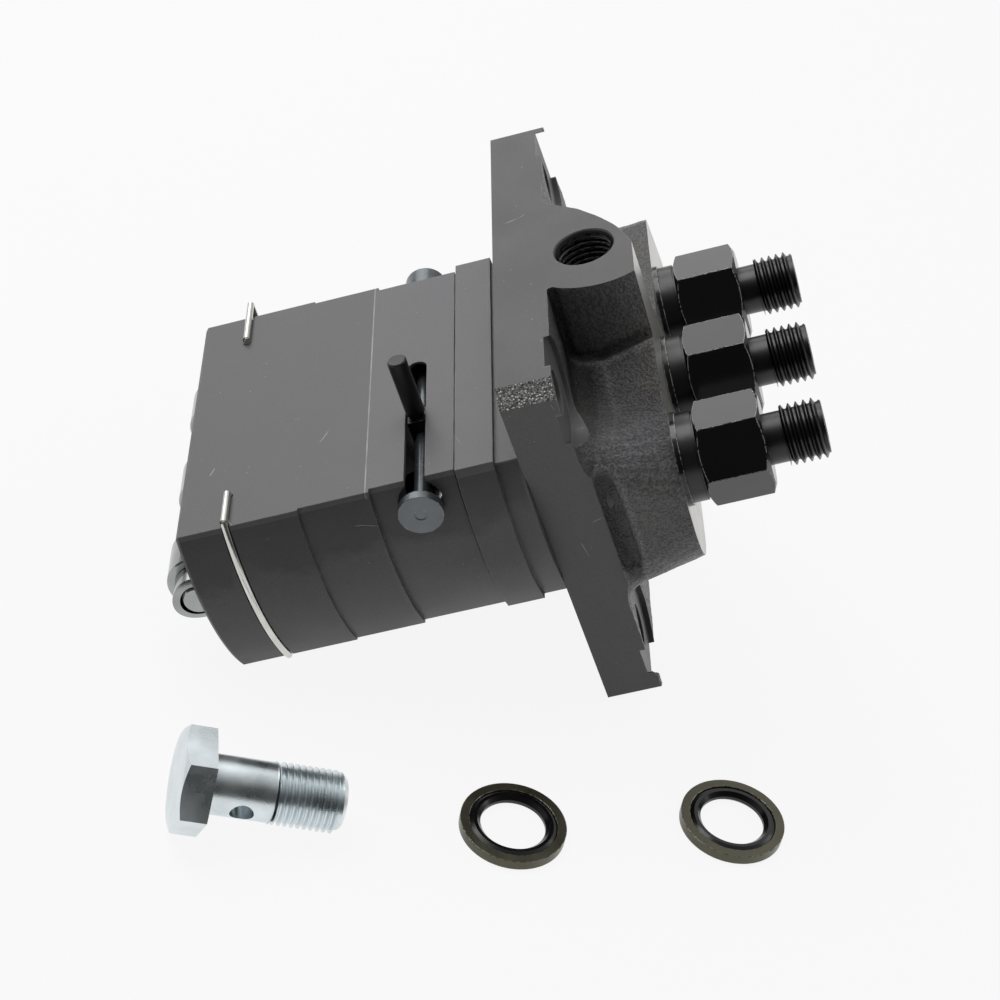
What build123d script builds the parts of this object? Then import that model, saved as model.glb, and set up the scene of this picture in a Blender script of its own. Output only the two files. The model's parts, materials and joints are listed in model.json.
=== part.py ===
from build123d import *

import os
from math import atan2, cos, degrees, radians, sin, sqrt, tan

# A three-cylinder in-line diesel injection pump of the kind that bolts into the side of a small
# engine, lying on a bench beside its banjo bolt and the two bonded seals that go with it.
#
# Every pump piece is drawn upright: X runs along the row of plungers, Y is square to the milled
# flat, and Z runs along the plungers towards the delivery valves, with Z zero on the face of the
# flange that meets the engine. The finished pieces are then laid down as the pump lies on the
# bench, on the end of its body and the long edge of its flange. After that X is level, towards
# the valves, Y runs along the row away from the side with the rack head, and Z is up.

os.makedirs("parts", exist_ok=True)

# Row of cylinders
cylinder_count = 3
cylinder_pitch = 26.0

# Body below the flange: lengths down from the flange face
body_length = 68.9
band_start = 44.0
waist_start = 29.7
land_start = 12.35
neck_start = 4.8
land_groove = 0.4

# Body section: two flats joined by bowed ends, with walls outside the outermost tappet bores
flat_y = 16.2
land_rise = 0.6
under_y = -21.5
bow_radius = 42.0
bow_middle_y = 1.0
tail_wall = 2.5
band_wall = 1.9
waist_wall = 0.9
land_wall = 2.4
neck_wall = 1.0
tail_chamfer = 0.6

# Flange
flange_thickness = 10.8
flange_top_y = 32.5
flange_low_y = -54.8
flange_near_x = -38.5
flange_near_lean = 6.6
flange_far_x = 56.5
flange_far_lean = 13.0
flange_corner = 3.3
bolt_hole_radius = 4.5
bolt_edge = 9.8
bolt_near_inset = 10.4
bolt_far_inset = 8.8
spotface_radius = 10.9
spotface_depth = 1.15
spotface_clear = 14.0

# Cast head
head_height = 28.2
head_flat_y = 9.4
head_low_y = -24.6
head_side = 9.8
head_far_side = 22.5
head_lug = 9.0
head_lug_drop = 18.0
head_draft = 4.9
head_foot_inset = 0.3
head_near_round = 13.0
head_low_round = 15.0
head_foot_round = 10.0
head_small_round = 3.0

# Inlet boss and its thread
inlet_x = 5.9
inlet_z = 18.6
inlet_radius = 6.0
inlet_mouth_radius = 6.65
inlet_mouth_angle = 45.0
inlet_depth = 21.5
boss_near = 14.6
boss_near_rise = 3.1
boss_foot_near = 9.9
boss_shoulder = 12.4
boss_top = 10.4
boss_ridge = 5.2
boss_slope_far = 6.9
boss_slope_rise = 5.4
boss_far = 20.2
boss_depth = 24.5
boss_draft = 3.0
feed_radius = 2.0
gallery_radius = 2.5
gallery_z = -4.0
gallery_y = 8.0
gallery_reach = -24.0
plug_length = 4.0

# Working fits, on the radius
plunger_fit = 0.03
sleeve_fit = 0.05
slide_fit = 0.05
press_fit = 0.01
loose_fit = 0.3

# Barrel and plunger
plunger_radius = 3.0
plunger_stroke = 7.0
plunger_top = -6.0
barrel_radius = 6.6
barrel_neck_radius = 5.45
barrel_top = 4.0
barrel_shoulder = -8.0
barrel_bottom = -21.2
port_radius = 1.0
port_z = -4.6
spill_depth = 0.6
spill_drop = 3.0
spill_width = 2.0

# Delivery valve, its seat and its spring
seat_height = 6.2
gasket_height = 0.8
gasket_bore = 4.2
valve_radius = 2.6
valve_head_radius = 3.2
valve_lift = 2.5
valve_stem = 5.4
valve_flutes = 4
valve_flute_radius = 1.3
valve_head = 2.4
valve_peg = 1.6
valve_spring_radius = 2.3
valve_spring_wire = 0.7
valve_spring_turns = 4.5
valve_spring_length = 7.5

# Delivery valve holder
holder_thread_radius = 7.5
collar_radius = 8.85
collar_height = 2.9
collar_groove = 0.35
washer_radius = 9.35
washer_thickness = 1.1
hex_across = 18.0
hex_height = 13.0
hex_chamfer = 1.2
hex_crown_inset = 0.3
hex_turns = [-4.5, 0.0, -4.8]
outlet_neck_radius = 5.05
outlet_neck = 3.5
outlet_radius = 6.0
outlet_length = 8.0
outlet_chamfer = 0.9
outlet_bore = 1.0
outlet_cone = 2.6
outlet_cone_angle = 30.0
ring_groove = 2.6
ring_groove_depth = 1.5
ring_groove_gap = 1.6

# Control sleeve and its arm
sleeve_radius = 6.3
sleeve_top = -13.0
sleeve_bottom = -34.0
vane_half_width = 1.1
vane_half_length = 6.1
vane_bottom = -32.0
vane_height = 3.0
vane_fit = 0.1
arm_reach = 8.0
arm_radius = 0.7
arm_ball = 1.2

# Control rack
rack_y = 11.2
rack_z = -20.6
rack_land_radius = 4.4
rack_rod_radius = 1.5
rack_near_out = 0.8
rack_far_out = 1.1
rack_head = 2.0
rack_far_land = 10.0
rack_middle_land = 6.0
rack_middle_x = 9.0
rack_mark_radius = 1.2
rack_mark_depth = 0.15
fork_half_width = 1.0
fork_half_length = 3.2
fork_bottom = 7.0
fork_play = 0.16
slot_width = 4.2
slot_end = 4.2
lever_x = -13.0
lever_radius = 1.95
lever_height = 13.0
lever_block = 4.4
lever_block_low = 1.8
lever_block_high = 4.2
lever_chamfer = 0.25
lever_neck_radius = 1.5
lever_neck_rise = 0.1

# Spring chamber, springs and tappets
chamber_radius = 9.4
chamber_top = -12.5
tappet_radius = 10.4
tappet_shoulder = -31.0
upper_seat_thickness = 1.5
upper_seat_bore = 6.7
plunger_spring_radius = 8.2
plunger_spring_wire = 2.0
plunger_spring_turns = 4.0
lower_seat_radius = 9.8
lower_seat_thickness = 2.0
foot_radius = 4.5
foot_height = 1.5
shim_radius = 6.0
shim_thickness = 1.5
tappet_skirt = 10.5
roller_out = 1.1
roller_radius = 6.6
roller_half_width = 4.9
roller_side_play = 0.2
roller_head_play = 0.8
cheek_radius = 5.0
roller_pin_radius = 3.15
roller_pin_half = 10.0
roller_chamfer = 0.3
tappet_crown = 1.7
roller_pin_play = 0.35
guide_from_end = 10.3
guide_half_width = 1.3
guide_depth = 2.0
guide_pin_radius = 1.2
guide_pin_bite = 1.7

# Wire that keeps the outer tappets in
wire_radius = 0.75
wire_groove = 0.9
wire_peg_out = 0.5
wire_play = 0.15
wire_loop_out = 1.1
wire_leave_y = 4.0

# Banjo bolt
banjo_across = 18.4
banjo_head = 5.9
banjo_head_chamfer = 1.6
banjo_crown_inset = 0.2
banjo_shank_radius = 5.75
banjo_shank = 12.4
banjo_thread_radius = 6.0
banjo_thread = 13.7
banjo_tip_chamfer = 0.8
banjo_bore = 2.5
banjo_bore_end = 5.0
banjo_port = 2.3
banjo_port_from_head = 6.8
banjo_port_dip = 12.0
banjo_x = -62.6
banjo_y = -76.6
banjo_yaw = 4.8

# Bonded seals
seal_radius = 10.5
seal_ring_bore = 8.7
seal_bore = 6.45
seal_thickness = 2.0
seal_bead_height = 2.4
seal_bead_outer = 7.9
seal_bead_inner = 7.2
seal_wall = 0.7
seal_bond = 1.5
seal_places = [(2.9, -69.9), (47.3, -61.5)]

# Places worked out from the sizes above
cylinder_x = [(number - (cylinder_count - 1) / 2) * cylinder_pitch for number in range(cylinder_count)]
cylinders = list(enumerate(cylinder_x, start=1))
row_points = [(x, 0) for x in cylinder_x]
bore_reach = cylinder_x[-1] + tappet_radius
tail_reach = bore_reach + tail_wall
band_reach = bore_reach + band_wall
waist_reach = bore_reach + waist_wall
land_reach = bore_reach + land_wall
neck_reach = bore_reach + neck_wall
rack_near_end = -tail_reach - rack_near_out
rack_far_end = tail_reach + rack_far_out
wire_loop_x = tail_reach + wire_loop_out
seat_top = barrel_top + seat_height
holder_bottom = seat_top + gasket_height
valve_chamber_top = holder_bottom + valve_head + valve_spring_length
washer_top = head_height + washer_thickness
collar_top = washer_top + collar_height
hex_bottom = collar_top + collar_groove
hex_top = hex_bottom + hex_height
outlet_start = hex_top + outlet_neck
outlet_end = outlet_start + outlet_length
roller_axis = -body_length - roller_out
guide_z = -body_length + guide_from_end
guide_top = guide_z + guide_pin_radius + wire_play
tappet_top = guide_top + tappet_crown
shim_top = tappet_top + shim_thickness
lower_seat_bottom = shim_top + foot_height
lower_seat_top = lower_seat_bottom + lower_seat_thickness
upper_seat_bottom = tappet_shoulder - upper_seat_thickness

# How the pump lies: on the end of its body and on the long edge of its flange
lie_angle = degrees(atan2(under_y - flange_low_y, body_length - tail_chamfer))
bench_z = flange_low_y * cos(radians(lie_angle))
lying = Plane(
    origin=(0, 0, 0),
    x_dir=(0, 1, 0),
    z_dir=(cos(radians(lie_angle)), 0, sin(radians(lie_angle))),
)


def keep(piece, name, row_x=0.0, turn=0.0):
    """Lays a finished pump piece down, at its cylinder in the row, and writes it."""
    placed = piece.part.moved(lying.location * Location((row_x, 0, 0), (0, 0, turn)))
    placed.label = name
    export_step(placed, f"parts/{name}.step")


def bow_half(reach, level, radius=bow_radius):
    """Half the length of a body section at a level, where its end bows out to reach."""
    return reach - radius + sqrt(radius**2 - (level - bow_middle_y) ** 2)


def body_section(reach, top, bottom):
    """Two flats joined by bowed ends."""
    with BuildSketch() as section:
        with BuildLine():
            upper = Line((-bow_half(reach, top), top), (bow_half(reach, top), top))
            far_end = ThreePointArc(upper @ 1, (reach, bow_middle_y), (bow_half(reach, bottom), bottom))
            lower = Line(far_end @ 1, (-bow_half(reach, bottom), bottom))
            ThreePointArc(lower @ 1, (-reach, bow_middle_y), upper @ 0)
        make_face()
    return section.sketch


def near_edge(level):
    """Where the flange's near edge stands at a level of Y."""
    return flange_near_x + (flange_top_y - level) * tan(radians(flange_near_lean))


def far_edge(level):
    """Where the flange's far edge stands at a level of Y."""
    return flange_far_x + (flange_top_y - level) * tan(radians(flange_far_lean))


def flange_outline():
    """Leaning flange with its rough corner cut off."""
    with BuildSketch() as outline:
        with BuildLine():
            Polyline(
                (near_edge(flange_top_y) + flange_corner, flange_top_y),
                (flange_far_x, flange_top_y),
                (far_edge(flange_low_y), flange_low_y),
                (near_edge(flange_low_y), flange_low_y),
                (near_edge(flange_top_y - flange_corner), flange_top_y - flange_corner),
                close=True,
            )
        make_face()
    return outline.sketch


def head_outline(near_top, near_low, draft, low_round):
    """Outline of the cast head, from its near side round to the lug on its far side."""
    top = head_flat_y + draft / 2
    low = head_low_y - draft
    far_x = cylinder_x[-1] + head_far_side - draft
    with BuildSketch() as outline:
        with BuildLine():
            Polyline(
                (near_top, top),
                (far_x, top),
                (far_x + head_lug, top - head_lug_drop),
                (far_x, low),
                (near_low, low),
                close=True,
            )
        make_face()
        corners = outline.vertices().sort_by(Axis.X)
        near_corners = sorted(corners[:2], key=lambda corner: corner.Y)
        fillet(near_corners[1], head_near_round)
        fillet(near_corners[0], low_round)
        fillet(corners[2:], head_small_round)
    return outline.sketch


def boss_outline():
    """Mouth of the inlet boss, seen square to its face, as X and Z."""
    foot = flange_thickness - spotface_depth
    ridge_z = inlet_z + boss_top
    with BuildSketch() as outline:
        with BuildLine():
            near = ThreePointArc(
                (inlet_x - boss_foot_near, foot),
                (inlet_x - boss_near, inlet_z + boss_near_rise),
                (inlet_x - boss_shoulder, ridge_z),
            )
            ridge = Line(near @ 1, (inlet_x - boss_ridge, ridge_z))
            slope = ThreePointArc(
                ridge @ 1,
                (inlet_x + boss_slope_far, inlet_z + boss_slope_rise),
                (inlet_x + boss_far, foot),
            )
            Line(slope @ 1, near @ 0)
        make_face()
    return outline.sketch


bolt_rows = [flange_top_y - bolt_edge, flange_low_y + bolt_edge]
bolt_points = [(near_edge(y) + bolt_near_inset, y) for y in bolt_rows]
bolt_points += [(far_edge(y) - bolt_far_inset, y) for y in bolt_rows]

# Body steps, as start, end, reach and the rise of the flat
body_steps = [
    (-body_length, -band_start, tail_reach, 0.0),
    (-band_start, -waist_start, band_reach, 0.0),
    (-waist_start, -land_start - land_groove, waist_reach, 0.0),
    (-land_start - land_groove, -land_start, waist_reach - land_groove, -land_groove),
    (-land_start, -neck_start, land_reach, land_rise),
    (-neck_start, 0.0, neck_reach, -land_rise),
]
widest_reach = max(reach for start, end, reach, rise in body_steps)

with BuildPart() as pump_body:
    for start, end, reach, rise in body_steps:
        with BuildSketch(Plane.XY.offset(start)):
            add(body_section(reach, flat_y + rise, under_y))
        extrude(amount=end - start)
    chamfer(pump_body.faces().sort_by(Axis.Z)[0].edges(), tail_chamfer)
    with BuildSketch():
        add(flange_outline())
    extrude(amount=flange_thickness)
    with BuildSketch(Plane.XY.offset(flange_thickness)):
        foot_near_top = near_edge(head_flat_y + head_draft / 2) + head_foot_inset
        foot_near_low = near_edge(head_low_y - head_draft) + head_foot_inset
        add(head_outline(foot_near_top, foot_near_low, head_draft, head_foot_round))
    with BuildSketch(Plane.XY.offset(head_height)):
        near_side = cylinder_x[0] - head_side
        add(head_outline(near_side, near_side, 0.0, head_low_round))
    loft(ruled=True)
    with BuildSketch(Plane.XZ.offset(-flange_top_y)):
        add(boss_outline())
    extrude(amount=boss_depth, taper=-boss_draft)
    # Bolt holes and the spotfaces milled round them
    with BuildSketch(Plane.XY.offset(flange_thickness - spotface_depth)):
        with Locations(*bolt_points):
            Circle(spotface_radius)
    extrude(amount=spotface_clear, mode=Mode.SUBTRACT)
    with BuildSketch():
        with Locations(*bolt_points):
            Circle(bolt_hole_radius)
    extrude(amount=flange_thickness, mode=Mode.SUBTRACT)
    # Bores for holder, barrel, springs and tappet
    with BuildSketch(Plane.XY.offset(holder_bottom - gasket_height)):
        with Locations(*row_points):
            Circle(holder_thread_radius + slide_fit)
    extrude(amount=head_height, mode=Mode.SUBTRACT)
    with BuildSketch(Plane.XY.offset(head_height)):
        with Locations(*row_points):
            Circle(washer_radius + loose_fit)
    extrude(amount=boss_top, mode=Mode.SUBTRACT)
    with BuildSketch(Plane.XY.offset(barrel_shoulder)):
        with Locations(*row_points):
            Circle(barrel_radius + slide_fit)
    extrude(amount=seat_top - barrel_shoulder, mode=Mode.SUBTRACT)
    with BuildSketch(Plane.XY.offset(chamber_top)):
        with Locations(*row_points):
            Circle(barrel_neck_radius + slide_fit)
    extrude(amount=barrel_shoulder - chamber_top, mode=Mode.SUBTRACT)
    with BuildSketch(Plane.XY.offset(chamber_top)):
        with Locations(*row_points):
            Circle(chamber_radius)
    extrude(amount=tappet_shoulder - chamber_top, mode=Mode.SUBTRACT)
    with BuildSketch(Plane.XY.offset(tappet_shoulder)):
        with Locations(*row_points):
            Circle(tappet_radius + slide_fit)
    extrude(amount=-body_length - tappet_shoulder, mode=Mode.SUBTRACT)
    # Rack bore and the slot that opens it to the flat
    with BuildSketch(Plane.YZ.offset(-widest_reach)):
        with Locations((rack_y, rack_z)):
            Circle(rack_land_radius + plunger_fit)
    extrude(amount=2 * widest_reach, mode=Mode.SUBTRACT)
    slot_middle = slot_end - slot_width / 2
    with BuildSketch(Plane.XZ.offset(-rack_y)):
        with Locations(((slot_middle - widest_reach) / 2, rack_z)):
            Rectangle(slot_middle + widest_reach, slot_width)
        with Locations((slot_middle, rack_z)):
            Circle(slot_width / 2)
    extrude(amount=-(flat_y - rack_y + land_rise), mode=Mode.SUBTRACT)
    # Inlet thread, its mouth, and the drillings from it to the three barrels
    with BuildSketch(Plane.XZ.offset(-flange_top_y)):
        with Locations((inlet_x, inlet_z)):
            Circle(inlet_radius)
    extrude(amount=inlet_depth, mode=Mode.SUBTRACT)
    with BuildSketch(Plane.XZ.offset(-flange_top_y)):
        with Locations((inlet_x, inlet_z)):
            Circle(inlet_mouth_radius)
    inlet_mouth_depth = (inlet_mouth_radius - inlet_radius) / tan(radians(inlet_mouth_angle))
    extrude(amount=inlet_mouth_depth, taper=inlet_mouth_angle, mode=Mode.SUBTRACT)
    with BuildSketch(Plane.XY.offset(gallery_z)):
        with Locations((inlet_x, gallery_y + gallery_radius)):
            Circle(feed_radius)
    extrude(amount=inlet_z - gallery_z, mode=Mode.SUBTRACT)
    with BuildSketch(Plane.YZ.offset(gallery_reach)):
        with Locations((gallery_y, gallery_z)):
            Circle(gallery_radius)
    extrude(amount=widest_reach - gallery_reach, mode=Mode.SUBTRACT)
    # Groove, holes and guide pin bores for keeping the tappets in and straight
    with BuildSketch(Plane.XY.offset(guide_z - wire_radius - wire_play)):
        add(body_section(tail_reach + wire_groove, flat_y + wire_groove, under_y - wire_groove))
        add(
            body_section(tail_reach - wire_groove, flat_y + wire_groove, under_y + wire_groove),
            mode=Mode.SUBTRACT,
        )
    extrude(amount=2 * (wire_radius + wire_play), mode=Mode.SUBTRACT)
    peg_points = [(cylinder_x[0] - wire_peg_out, guide_z), (cylinder_x[-1] + wire_peg_out, guide_z)]
    with BuildSketch(Plane.XZ.offset(-flat_y)):
        with Locations(*peg_points):
            Circle(wire_radius + wire_play)
    extrude(amount=flat_y, mode=Mode.SUBTRACT)
    with BuildSketch(Plane.XZ.offset(-under_y)):
        with Locations(*[(x, guide_z) for x in cylinder_x]):
            Circle(guide_pin_radius + press_fit)
    extrude(amount=under_y, mode=Mode.SUBTRACT)
keep(pump_body, "pump_body")

with BuildPart() as gallery_plug:
    with BuildSketch(Plane.YZ.offset(bow_half(neck_reach, gallery_y) - plug_length)):
        with Locations((gallery_y, gallery_z)):
            Circle(gallery_radius - press_fit)
    extrude(amount=plug_length - wire_play)
keep(gallery_plug, "gallery_plug")

# Delivery valve holders, each left at its own turn by the wrench
groove_z = head_height - ring_groove - ring_groove_gap
crown_edge = hex_across / 2 - hex_crown_inset
crown_out = crown_edge + 2 * hex_chamfer
with BuildPart() as holder:
    with BuildSketch(Plane.XY.offset(holder_bottom)):
        Circle(holder_thread_radius)
    extrude(amount=washer_top - holder_bottom)
    with BuildSketch(Plane.XY.offset(washer_top)):
        Circle(collar_radius)
    extrude(amount=collar_height)
    with BuildSketch(Plane.XY.offset(collar_top)):
        Circle(collar_radius - collar_groove)
    extrude(amount=collar_groove)
    with BuildSketch(Plane.XY.offset(hex_bottom)):
        RegularPolygon(hex_across / 2, 6, major_radius=False)
    extrude(amount=hex_height)
    with BuildSketch(Plane.XZ):
        with BuildLine():
            Polyline(
                (crown_edge, hex_top),
                (crown_out, hex_top - hex_chamfer),
                (crown_out, hex_top),
                close=True,
            )
        make_face()
        with BuildLine():
            Polyline(
                (crown_edge, hex_bottom),
                (crown_out, hex_bottom + hex_chamfer),
                (crown_out, hex_bottom),
                close=True,
            )
        make_face()
    revolve(axis=Axis.Z, mode=Mode.SUBTRACT)
    with BuildSketch(Plane.XY.offset(hex_top)):
        Circle(outlet_neck_radius)
    extrude(amount=outlet_neck)
    with BuildSketch(Plane.XY.offset(outlet_start)):
        Circle(outlet_radius)
    extrude(amount=outlet_length)
    chamfer(holder.faces().sort_by(Axis.Z)[-1].edges(), outlet_chamfer)
    # Chamber for the valve and its spring, the passage and the cone for the pipe
    with BuildSketch(Plane.XY.offset(holder_bottom)):
        Circle(gasket_bore)
    extrude(amount=valve_chamber_top - holder_bottom, mode=Mode.SUBTRACT)
    with BuildSketch(Plane.XY.offset(valve_chamber_top)):
        Circle(outlet_bore)
    extrude(amount=outlet_end - valve_chamber_top, mode=Mode.SUBTRACT)
    with BuildSketch(Plane.XY.offset(outlet_end)):
        Circle(outlet_cone)
    extrude(amount=-outlet_cone, taper=outlet_cone_angle, mode=Mode.SUBTRACT)
    # Groove for the sealing ring
    with BuildSketch(Plane.XY.offset(groove_z)):
        Circle(holder_thread_radius + slide_fit)
        Circle(holder_thread_radius - ring_groove_depth, mode=Mode.SUBTRACT)
    extrude(amount=ring_groove, mode=Mode.SUBTRACT)
for number, x in cylinders:
    keep(holder, f"delivery_valve_holder_{number}", x, hex_turns[number - 1])

with BuildPart() as holder_washers:
    with BuildSketch(Plane.XY.offset(head_height)):
        with Locations(*row_points):
            Circle(washer_radius)
            Circle(holder_thread_radius + slide_fit, mode=Mode.SUBTRACT)
    extrude(amount=washer_thickness)
keep(holder_washers, "holder_washers")

with BuildPart() as holder_sealing_rings:
    ring_radius = ring_groove_depth / 2
    with BuildSketch(Plane.XZ):
        with Locations((holder_thread_radius - ring_radius, groove_z + ring_groove / 2)):
            Circle(ring_radius - press_fit)
    revolve(axis=Axis.Z)
with BuildPart() as sealing_rings:
    with Locations(*[Location((x, 0, 0)) for x in cylinder_x]):
        add(holder_sealing_rings.part)
keep(sealing_rings, "holder_sealing_rings")

with BuildPart() as seat_gaskets:
    with BuildSketch(Plane.XY.offset(seat_top)):
        with Locations(*row_points):
            Circle(barrel_radius)
            Circle(gasket_bore, mode=Mode.SUBTRACT)
    extrude(amount=gasket_height)
keep(seat_gaskets, "seat_gaskets")

with BuildPart() as valve_seats:
    with BuildSketch(Plane.XY.offset(barrel_top)):
        with Locations(*row_points):
            Circle(barrel_radius)
            Circle(valve_radius + plunger_fit, mode=Mode.SUBTRACT)
    extrude(amount=seat_height)
keep(valve_seats, "delivery_valve_seats")

# Delivery valves: a fluted stem, a head that lands on the seat and a peg inside the spring
with BuildPart() as delivery_valve:
    with BuildSketch(Plane.XY.offset(seat_top - valve_stem)):
        Circle(valve_radius)
        with PolarLocations(valve_radius, valve_flutes):
            Circle(valve_flute_radius, mode=Mode.SUBTRACT)
    extrude(amount=valve_stem)
    with BuildSketch(Plane.XY.offset(seat_top)):
        Circle(valve_head_radius)
    extrude(amount=valve_head)
    with BuildSketch(Plane.XY.offset(seat_top + valve_head)):
        Circle(valve_spring_radius - valve_spring_wire / 2 - wire_play)
    extrude(amount=valve_peg)
for number, x in cylinders:
    keep(delivery_valve, f"delivery_valve_{number}", x)

valve_spring_bottom = seat_top + valve_head
valve_spring_room = valve_chamber_top - valve_spring_bottom
with BuildPart() as valve_spring:
    with BuildLine():
        valve_coil = Helix(
            pitch=valve_spring_room / valve_spring_turns,
            height=valve_spring_room,
            radius=valve_spring_radius,
            center=(0, 0, valve_spring_bottom),
        )
    with BuildSketch(Plane(origin=valve_coil @ 0, z_dir=valve_coil % 0)):
        Circle(valve_spring_wire / 2)
    sweep(is_frenet=True)
    with BuildSketch(Plane.XY.offset(valve_spring_bottom + press_fit)):
        Circle(valve_spring_radius + valve_spring_wire)
    extrude(amount=valve_spring_room - 2 * press_fit, mode=Mode.INTERSECT)
for number, x in cylinders:
    keep(valve_spring, f"delivery_valve_spring_{number}", x)

# Barrels, plungers and the sleeves that turn them
with BuildPart() as barrels:
    with BuildSketch(Plane.XY.offset(barrel_shoulder)):
        with Locations(*row_points):
            Circle(barrel_radius)
    extrude(amount=barrel_top - barrel_shoulder)
    with BuildSketch(Plane.XY.offset(barrel_bottom)):
        with Locations(*row_points):
            Circle(barrel_neck_radius)
    extrude(amount=barrel_shoulder - barrel_bottom)
    with BuildSketch(Plane.XY.offset(barrel_bottom)):
        with Locations(*row_points):
            Circle(plunger_radius + plunger_fit)
    extrude(amount=barrel_top - barrel_bottom, mode=Mode.SUBTRACT)
    with BuildSketch(Plane.XZ.offset(-barrel_radius)):
        with Locations(*[(x, port_z) for x in cylinder_x]):
            Circle(port_radius)
    extrude(amount=2 * barrel_radius, mode=Mode.SUBTRACT)
keep(barrels, "plunger_barrels")

with BuildPart() as plunger:
    with BuildSketch(Plane.XY.offset(lower_seat_bottom)):
        Circle(plunger_radius)
    extrude(amount=plunger_top - lower_seat_bottom)
    with BuildSketch(Plane.XY.offset(shim_top)):
        Circle(foot_radius)
    extrude(amount=foot_height)
    with BuildSketch(Plane.XY.offset(vane_bottom)):
        Rectangle(2 * vane_half_length, 2 * vane_half_width)
    extrude(amount=vane_height)
    # Spill groove milled slanting across one side of the top
    with BuildSketch(Plane.XZ.offset(-plunger_radius)):
        with BuildLine():
            spill_start = plunger_top - spill_drop
            spill_finish = spill_start - spill_drop
            Polyline(
                (-plunger_radius, spill_start),
                (plunger_radius, spill_finish),
                (plunger_radius, spill_finish - spill_width),
                (-plunger_radius, spill_start - spill_width),
                close=True,
            )
        make_face()
    extrude(amount=spill_depth, mode=Mode.SUBTRACT)
for number, x in cylinders:
    keep(plunger, f"plunger_{number}", x)

with BuildPart() as control_sleeve:
    with BuildSketch(Plane.XY.offset(sleeve_bottom)):
        Circle(sleeve_radius)
    extrude(amount=sleeve_top - sleeve_bottom)
    with BuildSketch(Plane.XZ):
        with Locations((0, rack_z)):
            Circle(arm_radius)
    extrude(amount=-arm_reach)
    with Locations((0, arm_reach, rack_z)):
        Sphere(arm_ball)
    with BuildSketch(Plane.XY.offset(sleeve_bottom)):
        Circle(barrel_neck_radius + sleeve_fit)
    extrude(amount=sleeve_top - sleeve_bottom, mode=Mode.SUBTRACT)
    # Two slots that carry the plunger's vane
    slot_top = vane_bottom + vane_height + plunger_stroke + 2 * vane_fit
    with BuildSketch(Plane.XY.offset(sleeve_bottom)):
        Rectangle(3 * sleeve_radius, 2 * (vane_half_width + vane_fit))
    extrude(amount=slot_top - sleeve_bottom, mode=Mode.SUBTRACT)
for number, x in cylinders:
    keep(control_sleeve, f"control_sleeve_{number}", x)

# Control rack: a turned rod with three lands, and a fork for each sleeve arm
with BuildPart() as control_rack:
    with BuildSketch(Plane.YZ.offset(rack_near_end)):
        with Locations((rack_y, rack_z)):
            Circle(rack_rod_radius)
    extrude(amount=rack_far_end - rack_near_end)
    rack_lands = [
        (rack_near_end, rack_head),
        (rack_middle_x, rack_middle_land),
        (rack_far_end - rack_far_land, rack_far_land),
    ]
    for land_x, land_length in rack_lands:
        with BuildSketch(Plane.YZ.offset(land_x)):
            with Locations((rack_y, rack_z)):
                Circle(rack_land_radius)
        extrude(amount=land_length)
    prong = fork_half_length - arm_ball - fork_play
    prong_places = [x + side * (fork_half_length - prong / 2) for x in cylinder_x for side in (-1, 1)]
    with BuildSketch(Plane.XZ.offset(-fork_bottom)):
        with Locations(*[(place, rack_z) for place in prong_places]):
            Rectangle(prong, 2 * fork_half_width)
    extrude(amount=fork_bottom - rack_y)
    with BuildSketch(Plane.YZ.offset(rack_near_end)):
        with Locations((rack_y, rack_z)):
            Circle(rack_mark_radius)
    extrude(amount=rack_mark_depth, mode=Mode.SUBTRACT)
keep(control_rack, "control_rack")

# Lever pin, its block clamped round the rod and its neck clear of the slot's edges
lever_foot = flat_y + lever_neck_rise
with BuildPart() as rack_lever_pin:
    with BuildSketch(Plane.XZ.offset(lever_block_low - rack_y)):
        with Locations((lever_x, rack_z)):
            Rectangle(lever_block, slot_width - 2 * wire_play)
    extrude(amount=-(lever_block_low + lever_block_high))
    with BuildSketch(Plane.XZ.offset(-(rack_y + lever_block_high))):
        with Locations((lever_x, rack_z)):
            Circle(lever_neck_radius)
    extrude(amount=-(lever_foot - rack_y - lever_block_high))
    with BuildSketch(Plane.XZ.offset(-lever_foot)):
        with Locations((lever_x, rack_z)):
            Circle(lever_radius)
    extrude(amount=-(flat_y + lever_height - lever_foot))
    chamfer(rack_lever_pin.faces().sort_by(Axis.Y)[-1].edges(), lever_chamfer)
    with BuildSketch(Plane.YZ.offset(lever_x - lever_block)):
        with Locations((rack_y, rack_z)):
            Circle(rack_rod_radius + press_fit)
    extrude(amount=2 * lever_block, mode=Mode.SUBTRACT)
keep(rack_lever_pin, "rack_lever_pin")

# Springs and their seats
with BuildPart() as upper_seats:
    with BuildSketch(Plane.XY.offset(upper_seat_bottom)):
        with Locations(*row_points):
            Circle(tappet_radius)
            Circle(upper_seat_bore, mode=Mode.SUBTRACT)
    extrude(amount=upper_seat_thickness)
keep(upper_seats, "upper_spring_seats")

plunger_spring_room = upper_seat_bottom - lower_seat_top
with BuildPart() as plunger_spring:
    with BuildLine():
        plunger_coil = Helix(
            pitch=plunger_spring_room / plunger_spring_turns,
            height=plunger_spring_room,
            radius=plunger_spring_radius,
            center=(0, 0, lower_seat_top),
        )
    with BuildSketch(Plane(origin=plunger_coil @ 0, z_dir=plunger_coil % 0)):
        Circle(plunger_spring_wire / 2)
    sweep(is_frenet=True)
    with BuildSketch(Plane.XY.offset(lower_seat_top + press_fit)):
        Circle(plunger_spring_radius + plunger_spring_wire)
    extrude(amount=plunger_spring_room - 2 * press_fit, mode=Mode.INTERSECT)
for number, x in cylinders:
    keep(plunger_spring, f"plunger_spring_{number}", x)

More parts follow.
